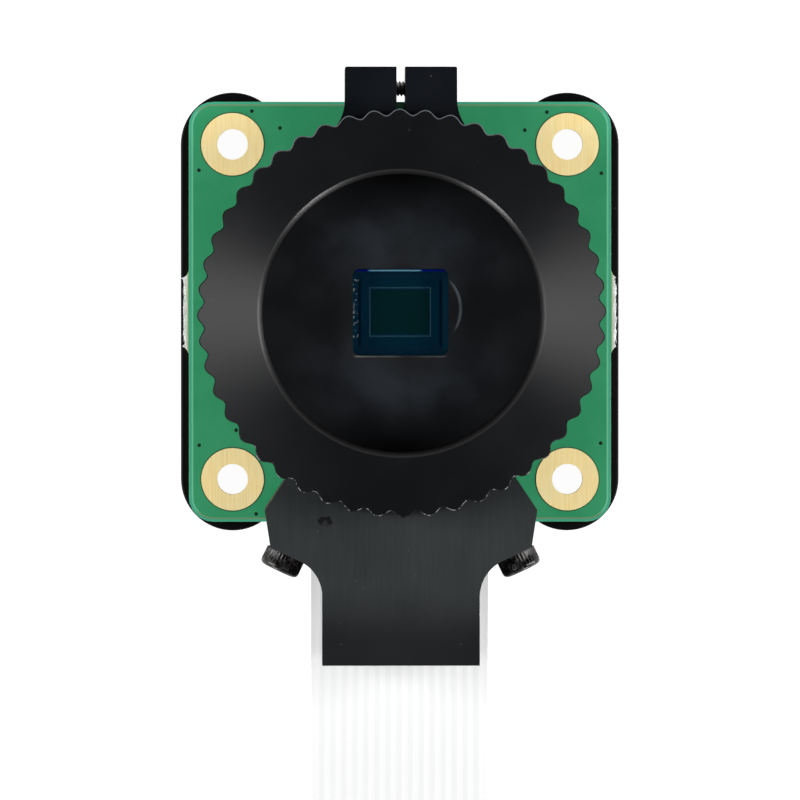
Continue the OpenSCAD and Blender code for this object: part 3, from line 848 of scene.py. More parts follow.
def new_piece(name: str, points: Sequence[Sequence[float]], faces: Sequence[Sequence[int]],
              body: Body = Body.MODULE) -> Piece:
    """Makes a smooth-shaded piece from points in millimetres.

    Args:
        name: The piece's name.
        points: Its points, in millimetres.
        faces: Its faces, by point numbers.
        body: The body it rides on.

    Returns:
        The piece.
    """
    piece = plain_mesh(name, points, faces)
    piece.data.validate()
    piece.data.shade_smooth()
    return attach(piece, body.value)


def tidy_mesh(piece: Piece, sharp: float = 30.0) -> None:
    """Merges doubles, points faces outward and marks sharp edges.

    Args:
        piece: The piece to tidy.
        sharp: Angle in degrees past which an edge is sharp.
    """
    work = bmesh.new()
    work.from_mesh(piece.data)
    bmesh.ops.remove_doubles(work, verts=work.verts, dist=1e-7)
    bmesh.ops.recalc_face_normals(work, faces=work.faces)
    for edge in work.edges:
        edge.smooth = len(edge.link_faces) == 2 and edge.calc_face_angle() < math.radians(sharp)
    for face in work.faces:
        face.smooth = True
    work.to_mesh(piece.data)
    work.free()


def settle(piece: Piece) -> Piece:
    """Turns a piece and its modifiers into a plain mesh.

    Args:
        piece: The piece with live modifiers.

    Returns:
        The same piece with none.
    """
    bpy.context.view_layer.update()
    graph = bpy.context.evaluated_depsgraph_get()
    finished = bpy.data.meshes.new_from_object(
        piece.evaluated_get(graph), preserve_all_data_layers=True, depsgraph=graph
    )
    piece.modifiers.clear()
    old = piece.data
    piece.data = finished
    bpy.data.meshes.remove(old)
    finished.name = piece.name
    return piece


def cover(piece: Piece, *materials: bpy.types.Material) -> Piece:
    """Puts materials on a piece, in the order of its slots.

    Args:
        piece: The piece.
        materials: Its materials.

    Returns:
        The same piece.
    """
    for i, material in enumerate(materials):
        if i < len(piece.data.materials):
            piece.data.materials[i] = material
        else:
            piece.data.materials.append(material)
    return piece


def dress(piece: Piece, slot: str, *materials: bpy.types.Material) -> Piece:
    """Puts materials on a piece."""
    return cover(piece, *materials)


def dress_node(node: str, material: bpy.types.Material) -> None:
    """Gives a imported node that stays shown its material."""
    cover(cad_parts[node], material)
    LOG.info("dressed %s with %s", node, material.name)


def machined_copy(node: str, name: str, edge: float, body: Body = Body.MODULE) -> Piece:
    """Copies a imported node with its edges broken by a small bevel.

    Args:
        node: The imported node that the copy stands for.
        name: The copy's name.
        edge: Width of the bevel in millimetres.
        body: The body it rides on.

    Returns:
        The copy, whose bevels take its second material.
    """
    work = bmesh.new()
    work.from_mesh(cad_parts[node].data)
    bmesh.ops.remove_doubles(work, verts=work.verts, dist=2e-6)
    bmesh.ops.dissolve_limit(
        work, angle_limit=math.radians(0.3), verts=work.verts, edges=work.edges
    )
    work.verts.index_update()
    points = [tuple(v.co / MM) for v in work.verts]
    faces = [[v.index for v in f.verts] for f in work.faces]
    work.free()
    piece = new_piece(name, points, faces, body)
    tidy_mesh(piece)
    bevel = piece.modifiers.new("Broken edges", "BEVEL")
    bevel.width = edge * MM
    bevel.segments = 2
    bevel.limit_method = "ANGLE"
    bevel.angle_limit = math.radians(35)
    bevel.material = 1
    bevel.harden_normals = True
    bevel.miter_outer = "MITER_ARC"
    for _ in range(2):
        piece.data.materials.append(None)
    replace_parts(settle(piece), node)
    return piece


@dataclass
class Lathe:
    """A closed profile that is turned about the Z axis, row by row."""

    steps: int

    def __post_init__(self) -> None:
        """Starts with no rows."""
        self.rows: list[tuple[float, float, int]] = []
        self.weights: dict[str, dict[int, float]] = {}

    def row(self, radius: float, z: float, flats: int = 0, **weights: float) -> None:
        """Adds a row of points.

        Args:
            radius: Distance from the axis, to the flats where it has them.
            z: Height.
            flats: Number of flat sides, or 0 for a round row.
            weights: Value of each named point attribute on the row.
        """
        self.rows.append((radius, z, flats))
        for name, value in weights.items():
            self.weights.setdefault(name, {})[len(self.rows) - 1] = value

    def run(self, radius: float, z0: float, z1: float, step: float, **weights: float) -> None:
        """Adds rows from one height to another at a fixed radius.

        Args:
            radius: Distance from the axis.
            z0: First height.
            z1: Last height.
            step: Largest distance between rows.
            weights: Value of each named point attribute on the rows.
        """
        count = max(1, math.ceil(abs(z1 - z0) / step))
        for i in range(count + 1):
            self.row(radius, z0 + (z1 - z0) * i / count, **weights)

    def reach(self, radius: float, angle: float, flats: int) -> float:
        """How far out a row's outline is at an angle.

        Args:
            radius: Distance from the axis, to the flats where it has them.
            angle: The angle about the axis, in radians.
            flats: Number of flat sides, or 0 for a round row.

        Returns:
            The distance from the axis.
        """
        if not flats:
            return radius
        side = 2 * math.pi / flats
        return radius / math.cos((angle + side / 2) % side - side / 2)

    def piece(self, name: str, body: Body = Body.MODULE, closed: bool = True) -> Piece:
        """Turns the rows into a tidy piece.

        Args:
            name: The piece's name.
            body: The body it rides on.
            closed: Whether the last row joins the first, or both ends are poles.

        Returns:
            The piece.
        """
        points = []
        for radius, z, flats in self.rows:
            for i in range(self.steps):
                angle = 2 * math.pi * i / self.steps
                reach = self.reach(radius, angle, flats)
                points.append((reach * math.cos(angle), reach * math.sin(angle), z))
        count = len(self.rows)
        faces = []
        for j in range(count if closed else count - 1):
            low, high = j * self.steps, (j + 1) % count * self.steps
            for i in range(self.steps):
                k = (i + 1) % self.steps
                faces.append((low + i, low + k, high + k, high + i))
        piece = new_piece(name, points, faces, body)
        for label, values in self.weights.items():
            attribute = piece.data.attributes.new(label, "FLOAT", "POINT")
            for j, value in values.items():
                for i in range(self.steps):
                    attribute.data[j * self.steps + i].value = value
        tidy_mesh(piece)
        return piece


# -------------------------------------------------------------------------- geometry trees


class GeometryTree(Group):
    """A geometry node tree with named inputs, used as a modifier."""

    def __init__(self, name: str, **inputs: str) -> None:
        """Makes the tree and its sockets.

        Args:
            name: The tree's name.
            inputs: Socket kind for each input's name, with underscores for blanks.
        """
        named = {label.replace("_", " "): sort for label, sort in inputs.items()}
        named = {"Geometry": "Geometry"} | named | {"Material": "Material"}
        super().__init__(name, "Geometry", named, "Geometry")
        self.tree.is_modifier = True

    def end(self, geometry: Socket) -> None:
        """Realizes what was placed, sets its material and wires the output.

        Args:
            geometry: The geometry to give out.
        """
        real = self.add("GeometryNodeRealizeInstances", {0: geometry}).outputs[0]
        inputs = {"Geometry": real, "Material": self.get("Material")}
        self.give(self.add("GeometryNodeSetMaterial", inputs).outputs[0])

    def end_moved(self, distance: Socket) -> None:
        """Ends with the points moved outward, by a distance times their named weight.

        Args:
            distance: How far a point of weight 1 moves away from the Z axis.
        """
        weight = self.add("GeometryNodeInputNamedAttribute", {0: self.get("Weight name")},
                          data_type="FLOAT").outputs[0]
        outward = self.unit(self.flat(self.place()))
        inputs = {0: outward, "Scale": self.times(distance, weight)}
        offset = self.add("ShaderNodeVectorMath", inputs, operation="SCALE").outputs[0]
        inputs = {"Geometry": self.get("Geometry"), "Offset": offset}
        self.end(self.add("GeometryNodeSetPosition", inputs).outputs[0])

    def place(self) -> Socket:
        """The place of each point."""
        return self.add("GeometryNodeInputPosition").outputs[0]

    def put_on(self, piece: Piece, **values: Any) -> None:
        """Adds the tree to a piece as a modifier.

        Args:
            piece: The piece.
            values: Value for each input, with underscores for blanks.
        """
        modifier = piece.modifiers.new(self.tree.name, "NODES")
        modifier.node_group = self.tree
        for item in self.tree.interface.items_tree:
            key = item.name.replace(" ", "_")
            if item.item_type == "SOCKET" and item.in_out == "INPUT" and key in values:
                modifier[item.identifier] = values[key]


@lru_cache(maxsize=None)
def wave_tree() -> GeometryTree:
    """Moves weighted points in by a cosine wave round the axis, as scallops and knurls.

    Returns:
        The tree.
    """
    tree = GeometryTree("Scallops", Count="Int", Depth="Float", Turn="Float",
                        Fullness="Float", Weight_name="String")
    x, y, _ = tree.parts(tree.place())
    angle = tree.minus(tree.math("ARCTAN2", y, x), tree.get("Turn"))
    phase = tree.times(angle, tree.get("Count"))
    swell = tree.times(tree.math("POWER", tree.math("SINE", phase), 2.0), tree.get("Fullness"))
    wave = tree.plus(tree.math("COSINE", phase), swell)
    tree.end_moved(tree.times(tree.minus(wave, 1.0), tree.get("Depth"), 0.5))
    return tree


@lru_cache(maxsize=None)
def thread_tree() -> GeometryTree:
    """Moves weighted points by a helical ridge about the Z axis, as a screw thread.

    Returns:
        The tree.
    """
    tree = GeometryTree("Screw thread", Pitch="Float", Depth="Float", Weight_name="String")
    x, y, z = tree.parts(tree.place())
    turns = tree.math("DIVIDE", tree.math("ARCTAN2", y, x), 2 * math.pi)
    height = tree.math("DIVIDE", z, tree.get("Pitch"))
    phase = tree.math("FRACT", tree.minus(height, turns))
    fold = tree.away(tree.minus(tree.times(phase, 2.0), 1.0))
    ridge = tree.math("SUBTRACT", tree.times(fold, 1.35), 0.175, clamp=True)
    tree.end_moved(tree.times(ridge, tree.get("Depth")))
    return tree


@dataclass(frozen=True)
class Thread:
    """A screw thread that is cut into named rows of a turned piece."""

    name: str
    pitch: float
    depth: float
    step: float

    def rows(self, lathe: Lathe, radius: float, z0: float, z1: float) -> None:
        """Adds the rows that the thread is cut into.

        Args:
            lathe: The piece's profile.
            radius: The thread's outer radius.
            z0: First height.
            z1: Last height.
        """
        lathe.run(radius, z0, z1, self.step, **{self.name: -1.0})

    def cut(self, piece: Piece, material: bpy.types.Material) -> None:
        """Moves the thread's rows on a piece, which gets the material."""
        thread_tree().put_on(piece, Pitch=self.pitch * MM, Depth=self.depth * MM,
                             Weight_name=self.name, Material=material)


@lru_cache(maxsize=None)
def copies_tree() -> GeometryTree:
    """Sets a copy of a shape on every point, turned and sized at random within limits.

    Returns:
        The tree.
    """
    tree = GeometryTree("Copies on points", Shape="Object", Turn_low="Vector",
                        Turn_high="Vector", Size_low="Vector", Size_high="Vector", Seed="Int")
    shape = tree.add("GeometryNodeObjectInfo", {"Object": tree.get("Shape")}).outputs["Geometry"]

    def between(what: str, shift: float) -> Socket:
        """A random vector between an input's low and high.

        Args:
            what: The input's name, less its low or high.
            shift: How far the seed is moved on.

        Returns:
            The vector's socket.
        """
        inputs = {0: tree.get(f"{what} low"), 1: tree.get(f"{what} high"),
                  "Seed": tree.plus(tree.get("Seed"), shift)}
        return tree.add("FunctionNodeRandomValue", inputs, data_type="FLOAT_VECTOR").outputs[0]

    inputs = {"Points": tree.get("Geometry"), "Instance": shape,
              "Rotation": between("Turn", 0.0), "Scale": between("Size", 7.0)}
    tree.end(tree.add("GeometryNodeInstanceOnPoints", inputs).outputs[0])
    return tree


def scattered(
    name: str,
    points: Sequence[Point],
    shape: Piece,
    material: bpy.types.Material,
    turn: tuple[Point, Point] = ((0, 0, 0), (0, 0, 0)),
    size: tuple[Point, Point] = ((1, 1, 1), (1, 1, 1)),
    seed: int = 1,
) -> Piece:
    """Makes one piece of many copies of a small shape.

    Args:
        name: The piece's name.
        points: Where the copies go, in millimetres.
        shape: The shape, which is removed afterwards.
        material: The copies' material.
        turn: Least and largest turn of a copy, in radians.
        size: Least and largest size of a copy.
        seed: Seed of the random turns and sizes.

    Returns:
        The piece.
    """
    piece = new_piece(name, points, [])
    copies_tree().put_on(
        piece, Shape=shape, Turn_low=turn[0], Turn_high=turn[1], Size_low=size[0],
        Size_high=size[1], Seed=seed, Material=material,
    )
    settle(piece)
    bpy.data.objects.remove(shape)
    piece.data.shade_smooth()
    return piece


def chance(index: int, salt: int) -> float:
    """A repeatable number from 0 to 1 that looks random from one index to the next."""
    return (math.sin(index * 12.9898 + salt * 78.233) * 43758.5453) % 1.0


def bare_shape(points: Sequence[Point], faces: Sequence[Sequence[int]]) -> Piece:
    """Makes a small smooth shape for copies, which isn't a piece itself.

    Args:
        points: Its points, in millimetres.
        faces: Its faces.

    Returns:
        The shape's object.
    """
    shape = plain_mesh("shape", points, faces)
    shape.data.shade_smooth()
    return shape


def spun_shape(rows: Sequence[tuple[float, float]], sides: int) -> Piece:
    """Makes a small turned shape for copies, closed by points on its axis.

    Args:
        rows: Radius and height of each row, from the bottom up.
        sides: Number of sides.

    Returns:
        The shape's object.
    """
    points: list[Point] = [(0.0, 0.0, rows[0][1])]
    for radius, z in rows:
        for i in range(sides):
            angle = 2 * math.pi * i / sides
            points.append((radius * math.cos(angle), radius * math.sin(angle), z))
    points.append((0.0, 0.0, rows[-1][1]))
    top = len(points) - 1
    faces: list[tuple[int, ...]] = []
    for i in range(sides):
        k = (i + 1) % sides
        faces.append((0, 1 + k, 1 + i))
        for j in range(len(rows) - 1):
            a, b = 1 + j * sides, 1 + (j + 1) * sides
            faces.append((a + i, a + k, b + k, b + i))
        last = 1 + (len(rows) - 1) * sides
        faces.append((last + i, last + k, top))
    return bare_shape(points, faces)


def placed_copies(piece: Piece, places: Sequence[Matrix]) -> Piece:
    """Replaces a piece's mesh by copies of it at several places.

    Args:
        piece: The piece, made round the Z axis.
        places: Where the copies go, with their offsets in millimetres.

    Returns:
        The same piece.
    """
    work = bmesh.new()
    for place in places:
        metres = place.copy()
        metres.translation = place.translation * MM
        mesh = piece.data.copy()
        mesh.transform(metres)
        work.from_mesh(mesh)
        bpy.data.meshes.remove(mesh)
    work.to_mesh(piece.data)
    work.free()
    return piece


def paint(piece: Piece, index: int, test: Callable[[Vector, Vector], bool]) -> None:
    """Gives faces that pass a test another of the piece's materials.

    Args:
        piece: The piece.
        index: The material's slot number.
        test: Says whether a face takes it, from its middle in millimetres and its normal.
    """
    for face in piece.data.polygons:
        if test(face.center / MM, face.normal):
            face.material_index = index


# -------------------------------------------------------------------------- sub-assemblies


@dataclass
class Ribbon:
    """The white flat cable, which lies straight out below the foot."""

    width: float = 16.0
    thickness: float = 0.2
    ways: int = 15
    pitch: float = 1.0
    rib: float = 0.012
    rib_half: float = 0.26
    rib_foot: float = 0.34
    side_bevel: float = 0.03
    length: float = 150.003
    exit_y: float = -19.65
    route: tuple[tuple[float, float], ...] = (
        (-14.4, 3.2), (-17, 3.2), (-19.5, 3.2), (-21.5, 3.17), (-23.5, 3.02), (-25.5, 2.72),
        (-27.5, 2.28), (-29.5, 1.76), (-31.5, 1.24), (-33.5, 0.8), (-35.5, 0.46), (-37.5, 0.24),
        (-39.5, 0.13), (-42, 0.1), (-50, 0.1), (-60, 0.1), (-72, 0.1), (-84, 0.1), (-96, 0.1),
        (-108, 0.1), (-120, 0.1), (-132, 0.1), (-142, 0.1), (-150, 0.1), (-154, 0.14),
        (-157, 0.25), (-160, 0.25), (-164.1, 0.25),
    )

    def section(self) -> list[tuple[float, float]]:
        """The cross-section: a low rib over each conductor, above and below.

        Returns:
            Points across the cable, sideways and up from its middle.
        """
        half, up = self.width / 2, self.thickness / 2
        inner, low = half - self.side_bevel, up - self.rib
        top = [(-half, 0.0), (-inner, low)]
        for way in range(self.ways):
            middle = (way - (self.ways - 1) / 2) * self.pitch
            top += [(middle - self.rib_foot, low), (middle - self.rib_half, up),
                    (middle + self.rib_half, up), (middle + self.rib_foot, low)]
        top += [(inner, low), (half, 0.0)]
        return top + [(x, -z) for x, z in reversed(top[1:-1])]

    def build(self, finishes: Finishes) -> list[Piece]:
        """Makes the cable.

        Args:
            finishes: The module's finishes, none of which it uses.

        Returns:
            The cable.
        """
        section = self.section()
        count, last = len(section), len(self.route) - 1
        points: list[Point] = []
        for i, (y, z) in enumerate(self.route):
            ahead, behind = self.route[min(i + 1, last)], self.route[max(i - 1, 0)]
            heading = Vector((ahead[0] - behind[0], ahead[1] - behind[1])).normalized()
            points += [(x, y + heading.y * up, z - heading.x * up) for x, up in section]
        faces: list[tuple[int, ...]] = []
        for i in range(last):
            for k in range(count):
                a, b = i * count + k, i * count + (k + 1) % count
                faces.append((a, b, b + count, a + count))
        faces += [tuple(range(count)), tuple(range(last * count, (last + 1) * count))]
        piece = new_piece("flat_cable", points, faces)
        tidy_mesh(piece, 50)
        dress(piece, "ribbon_film", RibbonFilm(self.ways, self.pitch).material())
        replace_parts(piece, "ribbon_cable")
        return [piece]


@dataclass
class FocusRing:
    """The back-focus ring: a scalloped grip, the lens thread and its own threaded barrel."""

    peak_r: float = 18.0
    scallops: int = 48
    scallop_depth: float = 0.56
    turn: float = 0.6
    crest_fullness: float = 0.16
    grip_w: float = 1.1
    flange_t: float = 4.9
    barrel_r: float = 14.1
    bore_r: float = 12.7
    bore_l: float = 5.0
    bore_thread: Thread = Thread("bore", 0.794, 0.43, 0.09)
    relief_r: float = 13.05
    runout: float = 0.1
    barrel_thread: Thread = Thread("barrel", 0.5, 0.25, 0.1)
    barrel_neck: float = 0.06
    barrel_edge: float = 0.1
    rim_edge: float = 0.1
    mouth_r: float = 12.7
    mouth_belly: float = 0.012
    mouth_lip: float = 0.05
    mouth_gap: float = 0.04
    mouth_steps: int = 5
    face_rows: tuple[float, float] = (1.4, 2.8)
    relief_step: float = 2.0
    grip_step: float = 1.6
    steps_per_scallop: int = 10

    def profile(self, z0: float, z1: float) -> Lathe:
        """The ring's section.

        Args:
            z0: Height of its lowest point.
            z1: Height of its front face.

        Returns:
            The section's rows, with weights for its threads and its scalloped rim.
        """
        under = z1 - self.flange_t
        crest = self.bore_r - self.bore_thread.depth
        shoulder = self.peak_r - self.grip_w
        lathe = Lathe(self.scallops * self.steps_per_scallop)
        lathe.run(self.relief_r, z0, z1 - self.bore_l - self.runout, self.relief_step)
        lathe.row(self.bore_r, z1 - self.bore_l)
        cone_z = z1 - self.bore_thread.depth - self.mouth_lip
        start = z1 - self.bore_l + self.runout
        self.bore_thread.rows(lathe, self.bore_r, start, cone_z - self.mouth_gap)
        for step in range(self.mouth_steps + 1):
            rise = step / self.mouth_steps
            belly = self.mouth_belly * math.sin(math.pi * rise)
            lathe.row(crest + (self.mouth_r - crest) * rise - belly,
                      cone_z + (z1 - cone_z) * rise + belly)
        for out in self.face_rows:
            lathe.row(self.bore_r + out, z1)
        lathe.row(shoulder, z1)
        lathe.row(self.peak_r - self.rim_edge, z1, rim=1.0)
        lathe.run(self.peak_r, z1 - self.rim_edge, under + self.rim_edge, self.grip_step,
                  rim=1.0)
        lathe.row(self.peak_r - self.rim_edge, under, rim=1.0)
        lathe.row(shoulder, under)
        lathe.row(self.barrel_r, under)
        end = z0 + self.barrel_edge
        self.barrel_thread.rows(lathe, self.barrel_r, under - self.barrel_neck, end)
        lathe.row(self.barrel_r - self.barrel_edge, z0)
        return lathe

    def build(self, finishes: Finishes) -> list[Piece]:
        """Makes the ring.

        Args:
            finishes: The module's finishes.

        Returns:
            The ring.
        """
        low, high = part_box("back_focus_ring")
        top = high.z / MM
        piece = self.profile(low.z / MM, top).piece("scalloped_ring", Body.RING)
        face, *others = (
            finish.material() for finish in
            (finishes.ring, finishes.ring_edge, finishes.thread, finishes.grip)
        )
        wave_tree().put_on(
            piece, Count=self.scallops, Depth=self.scallop_depth * MM,
            Turn=math.radians(self.turn), Fullness=self.crest_fullness, Weight_name="rim",
            Material=face,
        )
        self.bore_thread.cut(piece, face)
        self.barrel_thread.cut(piece, face)
        settle(piece)
        dress(piece, "black_anodised", face, *others)
        paint(piece, 1, lambda c, n: c.z > top - self.rim_edge and 0.3 < n.z < 0.9
              and c.xy.length > self.peak_r - 1)
        paint(piece, 2, lambda c, n: c.xy.length < self.mouth_r and n.z < 0.995)
        paint(piece, 3, lambda c, n: c.xy.length > self.barrel_r - 1 and abs(n.z) < 0.3)
        return [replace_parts(piece, "back_focus_ring")]


@dataclass
class Housing:
    """The clamp housing with its turned floor, and the screw that pinches its slit."""

    edge: float = 0.1
    floor_z: float = 10.3
    aperture_w: float = 8.55
    aperture_h: float = 7.75
    lock_r: float = 0.7
    lock_thread: Thread = Thread("cut", 0.3, 0.17, 0.05)
    tip_edge: float = 0.15
    neck: float = 0.1
    head_r: float = 1.3
    head_h: float = 1.1
    head_edge: float = 0.05
    head_bevel: float = 0.15
    head_step: float = 0.5
    sides: int = 48
    slot_w: float = 0.4

    def build(self, finishes: Finishes) -> list[Piece]:
        """Makes the housing and its lock screw.

        Args:
            finishes: The module's finishes.

        Returns:
            The pieces.
        """
        body = machined_copy("lens_housing", "clamp_housing", self.edge)
        floor = HousingFloor(self.aperture_w, self.aperture_h)
        dress(body, "black_anodised", finishes.housing.material(), finishes.edge.material(),
              floor.material())
        paint(body, 2, lambda c, n: n.z > 0.99 and abs(c.z - self.floor_z) < 0.05)
        return [body, self.lock_screw(finishes)]

    def lock_screw(self, finishes: Finishes) -> Piece:
        """Makes the threaded lock screw with its slotted head.

        Args:
            finishes: The module's finishes.

        Returns:
            The screw.
        """
        low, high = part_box("lock_screw")
        tip, top = low.x / MM, high.x / MM
        seat = top - self.head_h
        lathe = Lathe(self.sides)
        lathe.row(0.0, tip)
        lathe.row(self.lock_r - self.lock_thread.depth, tip)
        self.lock_thread.rows(lathe, self.lock_r, tip + self.tip_edge, seat - self.neck)
        lathe.row(self.lock_r, seat)
        lathe.row(self.head_r - self.head_edge, seat)
        lathe.run(self.head_r, seat + self.head_edge, top - self.head_bevel, self.head_step)
        lathe.row(self.head_r - self.head_bevel, top)
        lathe.row(0.0, top)
        piece = lathe.piece("pinch_screw", closed=False)
        steel = finishes.lock_steel.material()
        self.lock_thread.cut(piece, steel)
        settle(piece)
        self.cut_slot(piece, top)
        middle = Vector((0.0, (low.y + high.y) / 2 / MM, (low.z + high.z) / 2 / MM))
        placed_copies(piece, [Matrix.Translation(middle) @ Matrix.Rotation(QUARTER, 4, "Y")])
        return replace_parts(dress(piece, "bright_steel", steel), "lock_screw")

    def cut_slot(self, piece: Piece, top: float) -> None:
        """Cuts the driver slot in the head.

        Args:
            piece: The screw, still upright.
            top: Height of its head's face.
        """
        half_l, half_w, depth = self.head_r * 1.5, self.slot_w / 2, self.head_h * 0.5
        corners = [(x, y, z) for x in (-half_l, half_l) for y in (-half_w, half_w)
                   for z in (top - depth, top + 1)]
        sides = [(0, 1, 3, 2), (4, 6, 7, 5), (0, 4, 5, 1), (2, 3, 7, 6), (0, 2, 6, 4), (1, 5, 7, 3)]
        cutter = bare_shape(corners, sides)
        cut = piece.modifiers.new("Slot", "BOOLEAN")
        cut.object = cutter
        cut.solver = "EXACT"
        settle(piece)
        bpy.data.objects.remove(cutter)


@dataclass
class CapScrews:
    """Socket head cap screws with knurled heads, in one piece for each pair."""

    shank_r: float = 1.0
    tip_edge: float = 0.2
    neck: float = 0.05
    head_r: float = 1.8
    head_h: float = 1.7
    head_edge: float = 0.12
    head_round: float = 0.42
    round_steps: int = 4
    key: float = 1.5
    key_edge: float = 0.06
    key_lip: float = 0.1
    key_floor: float = 0.45
    key_point: float = 0.35
    thread: Thread = Thread("cut", 0.4, 0.22, 0.08)
    knurls: int = 34
    knurl_depth: float = 0.08
    knurl_low: float = 0.16
    knurl_high: float = 0.12
    knurl_fade: float = 0.06
    steps_per_knurl: int = 4

    def profile(self, shank_l: float) -> Lathe:
        """A screw's section, its seat at height 0.

        Args:
            shank_l: Length under the head.

        Returns:
            The section's rows, with weights for the thread and the knurled head.
        """
        knurl_top = self.head_h - self.head_round - self.knurl_high
        lathe = Lathe(self.knurls * self.steps_per_knurl)
        lathe.row(0.0, -shank_l)
        lathe.row(self.shank_r - self.tip_edge, -shank_l)
        self.thread.rows(lathe, self.shank_r, self.tip_edge - shank_l, -self.tip_edge)
        lathe.row(self.shank_r, -self.neck)
        lathe.row(self.shank_r, 0.0)
        lathe.row(self.head_r - self.head_edge, 0.0)
        lathe.row(self.head_r, self.knurl_low - self.knurl_fade)
        lathe.row(self.head_r, self.knurl_low, knurl=1.0)
        lathe.row(self.head_r, knurl_top, knurl=1.0)
        lathe.row(self.head_r, knurl_top + self.knurl_fade)
        for step in range(1, self.round_steps + 1):
            turn = QUARTER * step / self.round_steps
            lathe.row(self.head_r - self.head_round * (1 - math.cos(turn)),
                      self.head_h - self.head_round * (1 - math.sin(turn)))
        lathe.row(self.key / math.sqrt(3) + self.key_edge, self.head_h)
        lathe.row(self.key / 2, self.head_h - self.key_lip, flats=6)
        lathe.row(self.key / 2, self.head_h * self.key_floor, flats=6)
        lathe.row(0.0, self.head_h * self.key_point)
        return lathe

    def build(
        self, name: str, node: str, shank_l: float, places: Sequence[Matrix], steel: Surface
    ) -> Piece:
        """Makes a group of equal screws.

        Args:
            name: The piece's name.
            node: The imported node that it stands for.
            shank_l: Length under the head.
            places: Where each screw's seat is, its head along Z.
            steel: The screws' finish.

        Returns:
            The piece.
        """
        piece = self.profile(shank_l).piece(name, closed=False)
        finish = steel.material()
        self.thread.cut(piece, finish)
        wave_tree().put_on(
            piece, Count=self.knurls, Depth=self.knurl_depth * MM, Turn=0.0, Fullness=0.0,
            Weight_name="knurl", Material=finish,
        )
        settle(piece)
        placed_copies(piece, places)
        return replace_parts(dress(piece, "black_steel", finish), node)


@dataclass
class TripodMount:
    """The arm and foot under the housing, its tripod thread and its two screws."""

    edge: float = 0.12
    screw_angle: float = 25.4
    seat_reach: float = 23.75
    shank_l: float = 9.15
    foot_t: float = 10.2
    thread_r: float = 3.17
    bore_gap: float = 0.03
    bore_mouth: float = 0.3
    bore_sides: int = 96
    thread: Thread = Thread("cut", 1.27, 0.55, 0.16)
    thread_l: float = 9.2
    thread_end: float = 0.9

    def build(self, finishes: Finishes) -> list[Piece]:
        """Makes the mount, its thread and its screws.

        Args:
            finishes: The module's finishes.

        Returns:
            The pieces.
        """
        body = machined_copy("tripod_mount", "foot_and_arms", self.edge)
        dress(body, "dark_anodised", finishes.mount.material(), finishes.edge.material())
        low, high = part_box("tripod_mount_screws")
        middle = Matrix.Translation((0.0, 0.0, (low.z + high.z) / 2 / MM))
        out = Matrix.Rotation(QUARTER, 4, "X") @ Matrix.Translation((0, 0, self.seat_reach))
        places = [
            middle @ Matrix.Rotation(math.radians(side * self.screw_angle), 4, "Z") @ out
            for side in (1, -1)
        ]
        screws = CapScrews().build(
            "knurled_screws", "tripod_mount_screws", self.shank_l, places, finishes.black_steel
        )
        return [body, self.bore(finishes), screws]

    def bore(self, finishes: Finishes) -> Piece:
        """Makes the ridges of the tripod thread in the foot's bore.

        Args:
            finishes: The module's finishes.

        Returns:
            The thread.
        """
        low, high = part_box("tripod_mount")
        inner = self.thread_r - self.bore_gap
        lathe = Lathe(self.bore_sides)
        lathe.row(self.thread_r, -self.thread_l)
        lathe.row(inner, -self.thread_l)
        self.thread.rows(lathe, inner, -self.thread_l, -self.thread_end)
        lathe.row(inner, -self.bore_mouth)
        lathe.row(self.thread_r, -self.bore_mouth)
        piece = lathe.piece("tripod_thread")
        finish = finishes.thread.material()
        self.thread.cut(piece, finish)
        settle(piece)
        mouth = Vector((0.0, low.y / MM, high.z / MM - self.foot_t / 2))
        placed_copies(piece, [Matrix.Translation(mouth) @ Matrix.Rotation(QUARTER, 4, "X")])
        return dress(piece, "dark_anodised", finish)


